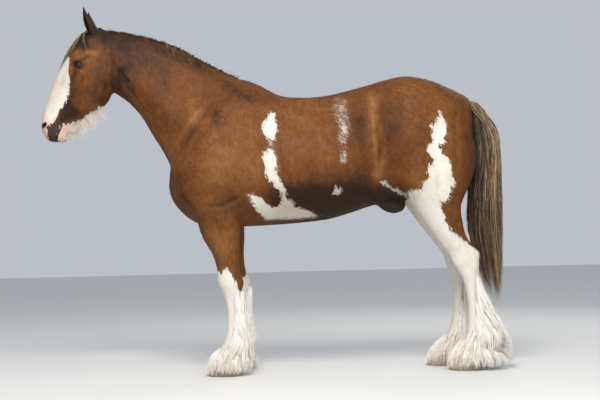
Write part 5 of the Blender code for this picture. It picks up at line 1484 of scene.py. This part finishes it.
def strand_tree(name, material, even=True):
    """A tree that turns guide lines into locks of strands, along even steps or the guide's own."""
    tree, given = socket_tree(name, **STRAND_INPUTS)
    lines = geo(tree, "MeshToCurve", {0: given["Geometry"]})
    if even:
        lines = geo(tree, "CurveSplineType", {0: lines}, spline_type="CATMULL_ROM")
        links = {"Curve": lines, "Count": given["Points"]}
        lines = geo(tree, "ResampleCurve", links)
    links = {"Geometry": lines, "Amount": given["Strands"]}
    lines = geo(tree, "DuplicateElements", links, domain="SPLINE")
    jitter = chance_of(tree, "FLOAT_VECTOR", (-1, -1, -1), (1, 1, 1), given["Seed"])
    lines = keep(tree, lines, "jitter", jitter, "CURVE")
    jitter = named(tree, "jitter")
    parts = add_node(tree, "ShaderNodeSeparateXYZ", {"Vector": jitter}).outputs
    position = geo(tree, "InputPosition")
    factor = add_node(tree, "GeometryNodeSplineParameter").outputs["Factor"]
    aside = vector_math(tree, "SCALE", named(tree, "across"), parts["X"])
    proud = vector_math(tree, "SCALE", named(tree, "out"), parts["Y"])
    links = {"Vector": vector_math(tree, "ADD", position, jitter), "Scale": 9.0, "Detail": 1.0}
    sway = add_node(tree, "ShaderNodeTexNoise", links).outputs["Color"]
    sway = vector_math(tree, "SUBTRACT", sway, (0.5, 0.5, 0.5))
    sway = vector_math(tree, "SCALE", sway, math_node(tree, "MULTIPLY", factor, given["Waves"]))
    moved = vector_math(tree, "ADD", vector_math(tree, "ADD", aside, proud), sway)
    lines = geo(tree, "SetPosition", {"Geometry": lines, "Offset": moved})
    length = chance_of(tree, "FLOAT", given["Shortest"], 1.0, given["Seed"])
    start = chance_of(tree, "FLOAT", 0.0, given["Ragged"], math_node(tree, "ADD", given["Seed"], 1))
    links = {"Curve": lines, "Start": start, "End": length}
    lines = geo(tree, "TrimCurve", links, mode="FACTOR")
    mottle = math_node(tree, "MULTIPLY", math_node(tree, "POWER", parts["Z"], 3.0), given["Mottle"])
    tint = math_node(tree, "ADD", named(tree, "shade", "FLOAT"), mottle)
    lines = keep(tree, lines, "tint", tint, "POINT", "FLOAT")
    lines = keep(tree, lines, "along", factor, "POINT", "FLOAT")
    circle = {"Resolution": 3, "Radius": 1.0}
    circle = geo(tree, "CurvePrimitiveCircle", circle, mode="RADIUS")
    circle = keep(tree, circle, "around", factor, "POINT", "FLOAT")
    taper = math_node(tree, "SUBTRACT", 1.05, math_node(tree, "POWER", factor, 2.5))
    thin_root = math_node(tree, "MULTIPLY_ADD", factor, 5.0, 0.25)
    taper = math_node(tree, "MINIMUM", taper, thin_root)
    links = {"Curve": lines, "Profile Curve": circle, "Fill Caps": True}
    links["Scale"] = math_node(tree, "MULTIPLY", taper, given["Thickness"])
    solid = geo(tree, "CurveToMesh", links)
    along, around = named(tree, "along", "FLOAT"), named(tree, "around", "FLOAT")
    local = add_node(tree, "ShaderNodeCombineXYZ", {"X": around, "Y": along}).outputs[0]
    local = vector_math(tree, "ADD", local, vector_math(tree, "SCALE", named(tree, "jitter"), 0.7))
    finish_tree(tree, bake_corner(tree, solid, local, BAKE_PATCH), material)
    return tree


def hair_material(name, dark, middle, pale, rough=0.45):
    """Hair coloured by each strand's tint, with fine streaks along the strand."""
    made, nodes, shader = new_material(name, rough)
    fine = noise(nodes, object_place(nodes), 220.0, 2.0, squash=(1, 1, 0.2))
    tint = math_node(nodes, "MULTIPLY_ADD", fine, 0.30, -0.15)
    tint = math_node(nodes, "ADD", attribute(nodes, "tint"), tint)
    colour = mix_colours(nodes, ramp(nodes, tint, 0.0, 0.5), dark, middle)
    colour = mix_colours(nodes, ramp(nodes, tint, 0.5, 1.0), colour, pale)
    roughness = math_node(nodes, "MULTIPLY_ADD", fine, 0.2, rough - 0.1)
    feed(nodes, shader, Base_Color=colour, Roughness=roughness)
    return made


# Tips that reach the ground lie down on it, within this height
LYING = 0.0075


def grow_hair(name, guides, tree, slot, tip_light=0.0, **values):
    """Grows the strands of all guides as one piece."""
    source = guide_source("guides", guides, tip_light)
    hair = grown(name, source, tree, values)
    bpy.data.objects.remove(source)
    points = read(hair.data)
    low = points[:, 2] < LYING
    points[low, 2] = LYING + 0.5 * (points[low, 2] - LYING)
    hair.data.vertices.foreach_set("co", points.ravel())
    return hair


def side_point(x, y, z, off):
    """The skin beside (x, z), met from far out on the side that y names, and moved off it."""
    hit = skin_tree.ray_cast(Vector((x, 3 * y, z)), Vector((0, -y, 0)))[0]
    away = hit if hit else Vector((x, 0, z))
    return away + Vector((0, math.copysign(off, y), 0))


def crest_point(x):
    """The highest point of the neck and withers at x."""
    return skin_tree.ray_cast(Vector((x, 0, 3)), Vector((0, 0, -1)))[0]


def leg_outline(stance, angle, height):
    """A point on the leg's outline at an angle from its front, and the way out of it."""
    rows = leg_rows(stance)
    heights = [-(r.z1 + r.z2) / 2 for r in rows]
    front, back, half = (
        float(np.interp(-height, heights, [getattr(r, key) for r in rows]))
        for key in ("x1", "x2", "half")
    )
    way = Vector((-math.cos(angle), stance.side * math.sin(angle), 0))
    middle = Vector(((front + back) / 2, stance.side * stance.foot_y, height))
    size = Vector(((back - front) / 2, half, 0))
    return middle + Vector((way.x * size.x, way.y * size.y, 0)), way


# The mane falls to the right from the crest of the neck, with short wisps on the left. The
# forelock hangs down the forehead from the poll, and a white beard from under the jaw.
MANE_GUIDES = 90
WISPS = 60
MANE_FRONT = -0.975
MANE_BACK = -0.230
MANE_LENGTH = 0.235
FORELOCK_GUIDES = 34
FORELOCK_LENGTH = 0.340
BEARD_GUIDES = 80
BEARD_LENGTH = 0.080
chance = random.Random(SEED)
mane_material = hair_material(
    "mane_hair", (0.011, 0.007, 0.005, 1), (0.075, 0.036, 0.017, 1), (0.40, 0.27, 0.14, 1)
)
mane_tree = strand_tree("mane_strands", mane_material)
guides = []
for k in range(MANE_GUIDES):
    share = (k + 0.5) / MANE_GUIDES
    x = MANE_FRONT + (MANE_BACK - MANE_FRONT) * share + chance.uniform(-0.006, 0.006)
    crest = crest_point(x)
    fall = MANE_LENGTH * (1 - 0.70 * share**3) * chance.uniform(0.62, 1.22)
    lean = 0.10 * fall + chance.uniform(-0.045, 0.045)
    rise = chance.uniform(0.002, 0.008) * (1 - 0.75 * share**2)
    path = [crest + Vector((0.004, -0.004, -0.008)), crest + Vector((0, 0.002, rise))]
    path.append(crest + Vector((lean * 0.1, 0.026, rise * 0.9)))
    out = [(0, -0.2, 1), (0, 0.2, 1), (0, 0.6, 1)]
    for s, off in ((0.30, 0.013), (0.62, 0.014), (0.85, 0.012), (1.0, 0.009)):
        path.append(side_point(x + lean * s, 0.3, crest.z - fall * s, off))
        out.append((0, 1, 0.25))
    guides.append(Guide(path, out, 0.016, 0.005, chance.uniform(0.05, 0.45)))
for k in range(WISPS):
    share = (k + 0.5) / WISPS
    x = MANE_FRONT + (MANE_BACK - MANE_FRONT) * share + chance.uniform(-0.02, 0.02)
    long = k % 2 == 0 and -0.64 < x < -0.42
    crest = crest_point(x)
    short = 1 - 0.5 * share
    fall = chance.uniform(0.055, 0.105) if long else chance.uniform(0.010, 0.026) * short
    path = [crest + Vector((-0.004, 0.004, -0.004))]
    path.append(crest + Vector((0.004, -0.003, 0.004 - 0.003 * share)))
    for s, off in ((0.55, 0.004), (1.0, 0.002)):
        path.append(side_point(x + (0.020 if long else 0.030) * s, -0.3, crest.z - fall * s, off))
    out = [(0, 0.5, 1), (0, -0.3, 1), (0, -1, 0.3), (0, -1, 0.3)]
    shade = chance.uniform(0.15, 0.75) if long else chance.uniform(0.0, 0.35)
    guides.append(Guide(path, out, 0.010 if long else 0.016, 0.003, shade))
grow_hair(
    "mane", guides, mane_tree, "long_hair",
    Strands=17, Thickness=0.0010, Waves=0.055, Shortest=0.5, Mottle=0.55, Points=9, Seed=3,
)


def face_point(along, turn, off):
    """A point off the face, so far along from the poll and turned about the head's middle."""
    middle = HEAD_START + FACE_WAY * along + JAW_WAY * 0.10
    way = Vector((0, math.sin(turn), 0)) - JAW_WAY * math.cos(turn)
    return skin_tree.ray_cast(middle + way * 0.4, -way)[0] + way * off, way


def jaw_point(along, y, off):
    start = HEAD_START + FACE_WAY * along + JAW_WAY * 0.5 + Vector((0, y, 0))
    return skin_tree.ray_cast(start, -JAW_WAY)[0] + JAW_WAY * off


guides = []
for k in range(FORELOCK_GUIDES):
    share = k / (FORELOCK_GUIDES - 1)
    root, tip = -0.25 + 0.42 * share, -1.10 + 1.60 * share + chance.uniform(-0.08, 0.08)
    length = FORELOCK_LENGTH * chance.uniform(0.65, 1.05) * (1 - 0.55 * min(abs(tip), 1.0))
    path, out = [], []
    for s, off in ((0.0, -0.006), (0.06, 0.014), (0.35, 0.015), (0.70, 0.010), (1.0, 0.005)):
        point, way = face_point(0.012 + length * s, root + (tip - root) * s**0.8, off)
        path.append(point)
        out.append(way)
    guides.append(Guide(path, out, 0.009, 0.005, chance.choice((0.02, 0.12, 0.35, 0.80))))
grow_hair(
    "forelock", guides, mane_tree, "long_hair",
    Strands=30, Thickness=0.0009, Waves=0.050, Shortest=0.3, Mottle=0.60, Points=9, Seed=4,
)

white_material = hair_material(
    "white_hair", (0.60, 0.50, 0.38, 1), (0.93, 0.88, 0.79, 1), (0.98, 0.96, 0.91, 1), 0.6
)
white_tree = strand_tree("white_strands", white_material)
guides = []
for k in range(BEARD_GUIDES):
    share = (k + 0.5) / BEARD_GUIDES
    along = 0.385 + 0.250 * share + chance.uniform(-0.010, 0.010)
    y = (-1 if k % 2 else 1) * chance.uniform(0.004, 0.030)
    length = BEARD_LENGTH * chance.uniform(0.35, 1.2) * (0.6 + 0.8 * math.sin(math.pi * share))
    root = jaw_point(along, y, -0.004)
    lean = chance.uniform(-0.45, 0.50)
    hang = (JAW_WAY * 0.30 + Vector((0.12 + lean, y * 2, -0.95))).normalized()
    path = [root, root + JAW_WAY * 0.006 + hang * length * 0.15]
    path += [root + hang * length * 0.55 + JAW_WAY * 0.010, root + hang * length + JAW_WAY * 0.014]
    out = [Vector((0, math.copysign(1, y), 0))] * 4
    guides.append(Guide(path, out, 0.012, 0.006, chance.uniform(0.05, 0.60)))
grow_hair(
    "beard", guides, white_tree, "feather",
    Strands=15, Thickness=0.0006, Waves=0.045, Shortest=0.25, Mottle=0.30,
    Ragged=0.16, Points=7, Seed=5,
)

# The feather: long white hair that grows down the back and sides of each cannon, is fullest
# behind the fetlock and spreads over the hoof to the ground.
FEATHER_HEIGHTS = (0.000, 0.046, 0.105, 0.164, 0.263, 0.354, 0.460, 0.520)
HIND_FEATHER_BACK = (0.165, 0.195, 0.205, 0.172, 0.132, 0.085, 0.022, 0.010)
FORE_FEATHER_BACK = (0.085, 0.090, 0.072, 0.050, 0.030, 0.018, 0.008, 0.005)
FEATHER_SIDE = (0.046, 0.044, 0.036, 0.028, 0.014, 0.008, 0.006, 0.006)
FEATHER_FRONT = (0.046, 0.034, 0.016, 0.010, 0.008, 0.006, 0.006, 0.006)
# How many guides, first one's degrees from the front, heights of roots and tips, hind rise
FEATHER_ROWS = [
    (36, 4, 0.150, 0.008, 0.2),
    (18, 70, 0.215, 0.012, 0.4),
    (14, 95, 0.290, 0.060, 0.7),
    (12, 110, 0.360, 0.110, 1.0),
    (10, 120, 0.430, 0.190, 1.0),
    (8, 130, 0.490, 0.280, 1.0),
]


def feather_reach(stance, angle, height):
    """How far the feather stands out of the leg there, from its front, side and back."""
    back_table = FORE_FEATHER_BACK if stance.rows is FORELEG else HIND_FEATHER_BACK
    ahead = math.cos(angle)
    weights = (max(ahead, 0) ** 2, 1 - ahead**2, max(-ahead, 0) ** 2)
    tables = (FEATHER_FRONT, FEATHER_SIDE, back_table)
    return sum(w * float(np.interp(height, FEATHER_HEIGHTS, t)) for w, t in zip(weights, tables))


for leg, stance in LEGS.items():
    guides = []
    for count, first, top, tip, hind_rise in FEATHER_ROWS:
        for k in range(count):
            turn = first + (360 - 2 * first) * (k + 0.5) / count + chance.uniform(-6, 6)
            angle, swing = math.radians(turn), math.radians(chance.uniform(-8, 8))
            rise = 0.0 if stance.rows is FORELEG else 0.045 * hind_rise
            high = top + rise + chance.uniform(-0.045, 0.035)
            low = max(tip + chance.uniform(-0.014, 0.022) * (tip > 0.01), 0.004)
            behind = max(-math.cos(angle), 0)
            layer = chance.uniform(0.30, 1.0) if behind > 0.3 else 1.0
            path, out = [], []
            for s, off in ((0.0, -0.006), (0.14, 0.22), (0.40, 0.78), (0.72, 0.99), (1.0, 1.0)):
                z = high + (low - high) * s
                point, way = leg_outline(stance, angle + swing * s, z)
                reach = feather_reach(stance, angle + swing * s, z) * layer
                path.append(point + way * (off if off < 0 else off * reach + 0.002))
                out.append(way + Vector((0, 0, 0.5)))
            shade = 0.85 - 0.45 * max(0.10 - low, 0) / 0.10 * chance.uniform(0.1, 1.0)
            guides.append(Guide(path, out, 0.022, 0.010 if top < 0.3 else 0.006, shade))
    grow_hair(
        "feather_" + leg, guides, white_tree, "feather",
        Strands=36, Thickness=0.0019, Waves=0.055, Shortest=0.72, Mottle=0.30,
        Ragged=0.15, Points=9, Seed=7,
    )

# The tail: a short dock of flesh and bone, set high, and long coarse hair that hangs from
# all of it, dark inside and blond behind.
TAIL_GUIDES = 62
TOP_GUIDES = 20
# Share of the way down, share of the outline's ring, and how far the hair hangs free there
TAIL_STEPS = (
    (0.03, 0.80, 0.42), (0.08, 0.86, 0.74), (0.15, 0.90, 0.94),
    (0.26, 0.92, 1.00), (0.56, 0.90, 1.00), (1.00, 0.58, 1.00),
)
# Height, front, back and half width
TAIL_OUTLINE = [
    (1.600, 1.180, 1.250, 0.045), (1.520, 1.195, 1.300, 0.055), (1.440, 1.205, 1.343, 0.062),
    (1.350, 1.212, 1.353, 0.068), (1.200, 1.210, 1.357, 0.076), (1.000, 1.180, 1.355, 0.085),
    (0.850, 1.165, 1.355, 0.086), (0.700, 1.196, 1.358, 0.078), (0.550, 1.240, 1.358, 0.062),
    (0.425, 1.280, 1.350, 0.040), (0.330, 1.310, 1.340, 0.020),
]
TAIL_OUTLINE = through(TAIL_OUTLINE, 4)
DOCK_LINE = [(1.130, 1.560), (1.195, 1.551), (1.243, 1.500), (1.277, 1.395), (1.285, 1.200)]
DOCK_LINE = through(DOCK_LINE, 8)
DOCK_RADIUS = 0.028
INNER_REACH = 0.62
GOLDEN_TURN = 0.381966


def tail_ring(height):
    """The tail's outline at a height: its front, back and half width."""
    heights = [-row[0] for row in TAIL_OUTLINE]
    return [float(np.interp(-height, heights, [r[i] for r in TAIL_OUTLINE])) for i in (1, 2, 3)]


def dock_place(share):
    """The dock's middle at a share of its length, and the way that it runs there."""
    at = share * (len(DOCK_LINE) - 1)
    i = min(int(at), len(DOCK_LINE) - 2)
    one, two = (Vector((x, 0, z)) for x, z in DOCK_LINE[i : i + 2])
    return one.lerp(two, at - i), (two - one).normalized()


tail_material = hair_material(
    "tail_hair", (0.018, 0.011, 0.007, 1), (0.090, 0.053, 0.027, 1), (0.50, 0.35, 0.18, 1)
)
tail_tree = strand_tree("tail_strands", tail_material, even=False)
for half_of, seed in (("inner", 21), ("outer", 22)):
    outer = half_of == "outer"
    reach = 1.0 if outer else INNER_REACH
    guides = []
    for k in range(TAIL_GUIDES + TOP_GUIDES * outer):
        angle = 2 * math.pi * (k * GOLDEN_TURN % 1.0) + 0.5 * outer
        level = (k + 0.5) / TAIL_GUIDES
        on_top = k >= TAIL_GUIDES
        if on_top:
            angle, level = chance.uniform(-1.5, 1.5), 0.26 * (k + 0.5 - TAIL_GUIDES) / TOP_GUIDES
        way = Vector((math.cos(angle), math.sin(angle), 0))
        middle, along = dock_place(0.06 + 0.90 * level + 0.08 * max(-way.x, 0) * (1 - level))
        off = Vector((-along.z, 0, along.x)) * way.x + Vector((0, way.y, 0))
        leaves = middle + off * 0.030 + along * 0.033
        path = [middle + off * 0.004, leaves]
        tip = 0.332 + (1 - level) * 0.14 + chance.uniform(0.0, 0.22) * chance.random()
        for s, share, settled in TAIL_STEPS:
            z = leaves.z - 0.008 + (tip - leaves.z + 0.008) * s
            front, back, half = tail_ring(z)
            x = (front + back) / 2 + 0.04 * (back - front) * s
            x += way.x * (back - front) / 2 * share * reach - 0.022 * max(-way.x, 0)
            hangs = Vector((x, way.y * half * 1.15 * share * reach, z))
            path.append(Vector((leaves.x, leaves.y, z)).lerp(hangs, settled))
        path = [Vector(p) for p in through(path, 2)]
        out = [off] * 4 + [way] * (len(path) - 4)
        shade = 0.44 * chance.random() ** 2.4 + 0.20 * on_top
        shade += 0.38 * max(way.x - 0.1, 0) * outer * chance.random()
        # The hair of the tail's head is blond for its first hand's breadth or two
        pale = 0.70 * max(1 - level / 0.35, 0) * chance.random() ** 0.6
        shade = [shade + pale * math.exp(-((i / 6) ** 2)) for i in range(len(path))]
        guides.append(Guide(path, out, 0.011, 0.007, shade))
    piece = grow_hair(
        "tail_" + half_of, guides, tail_tree, "long_hair", tip_light=1.4,
        Strands=29, Thickness=0.0013, Waves=0.090, Shortest=0.6, Mottle=0.75,
        Ragged=0.035, Seed=seed,
    )
dock = bmesh.new()
tube(dock, [Vector((x, 0, z)) for x, z in DOCK_LINE[::2]], DOCK_RADIUS, 20)
dock = add_object("dock", dock)
dock.data.shade_smooth()
dock.data.materials.append(skin_material)
# The dock's coat is darkened by a tone of -0.3, painted shade for the inside of the tail where it
# shows between the strands
for label, value in (("white", 0.5), ("roan", 0.0), ("tone", -0.3), ("bare", 0.0)):
    store(dock.data, label, np.full(len(dock.data.vertices), value))
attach(dock, "root")
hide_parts("tail")

# Lashes, which are short stiff hairs on the upper lids, and the soft hair that grows from
# both brims of each ear and guards its cup.
LASHES = 13
EAR_HAIRS = 26
guides = []
for side in (-1, 1):
    slit, up, sight = sight_axes(side)
    for k in range(LASHES):
        turn = math.pi * (0.14 + 0.72 * k / (LASHES - 1))
        point, away = lid_point(side, turn, 0.004, 0.0020)
        path = [point, point + sight * 0.006 + away * 0.001, point + sight * 0.013 - up * 0.004]
        guides.append(Guide(path, [up] * 3, 0.0016, 0.0008, 0.02))
grow_hair(
    "lashes", guides, mane_tree, "long_hair",
    Strands=5, Thickness=0.0004, Waves=0.006, Shortest=0.7, Mottle=0.05, Points=6, Seed=8,
)
guides = []
for side in (-1, 1):
    base, rise, opens, across = ear_axes(side)
    for k in range(EAR_HAIRS):
        share = 0.06 + 0.78 * chance.random()
        brim = 1 if k < EAR_HAIRS / 2 else -1
        wide = float(np.interp(share, [r[0] for r in EAR_ROWS], [r[1] for r in EAR_ROWS]))
        root = ear_wall(side, share, wide - 0.006, 0.016, math.radians(brim * 98))
        lift = rise.normalized() * 0.024 * (1.1 - share)
        path = [root, root + lift * 0.5 - across * brim * 0.008 + opens * 0.002]
        path.append(root + lift * 1.1 - across * brim * 0.012 + opens * 0.007)
        guides.append(Guide(path, [opens] * 3, 0.006, 0.003, chance.uniform(0.05, 0.45)))
grow_hair(
    "ear_hair", guides, mane_tree, "long_hair",
    Strands=12, Thickness=0.0004, Waves=0.016, Shortest=0.4, Mottle=0.30, Points=6, Seed=9,
)
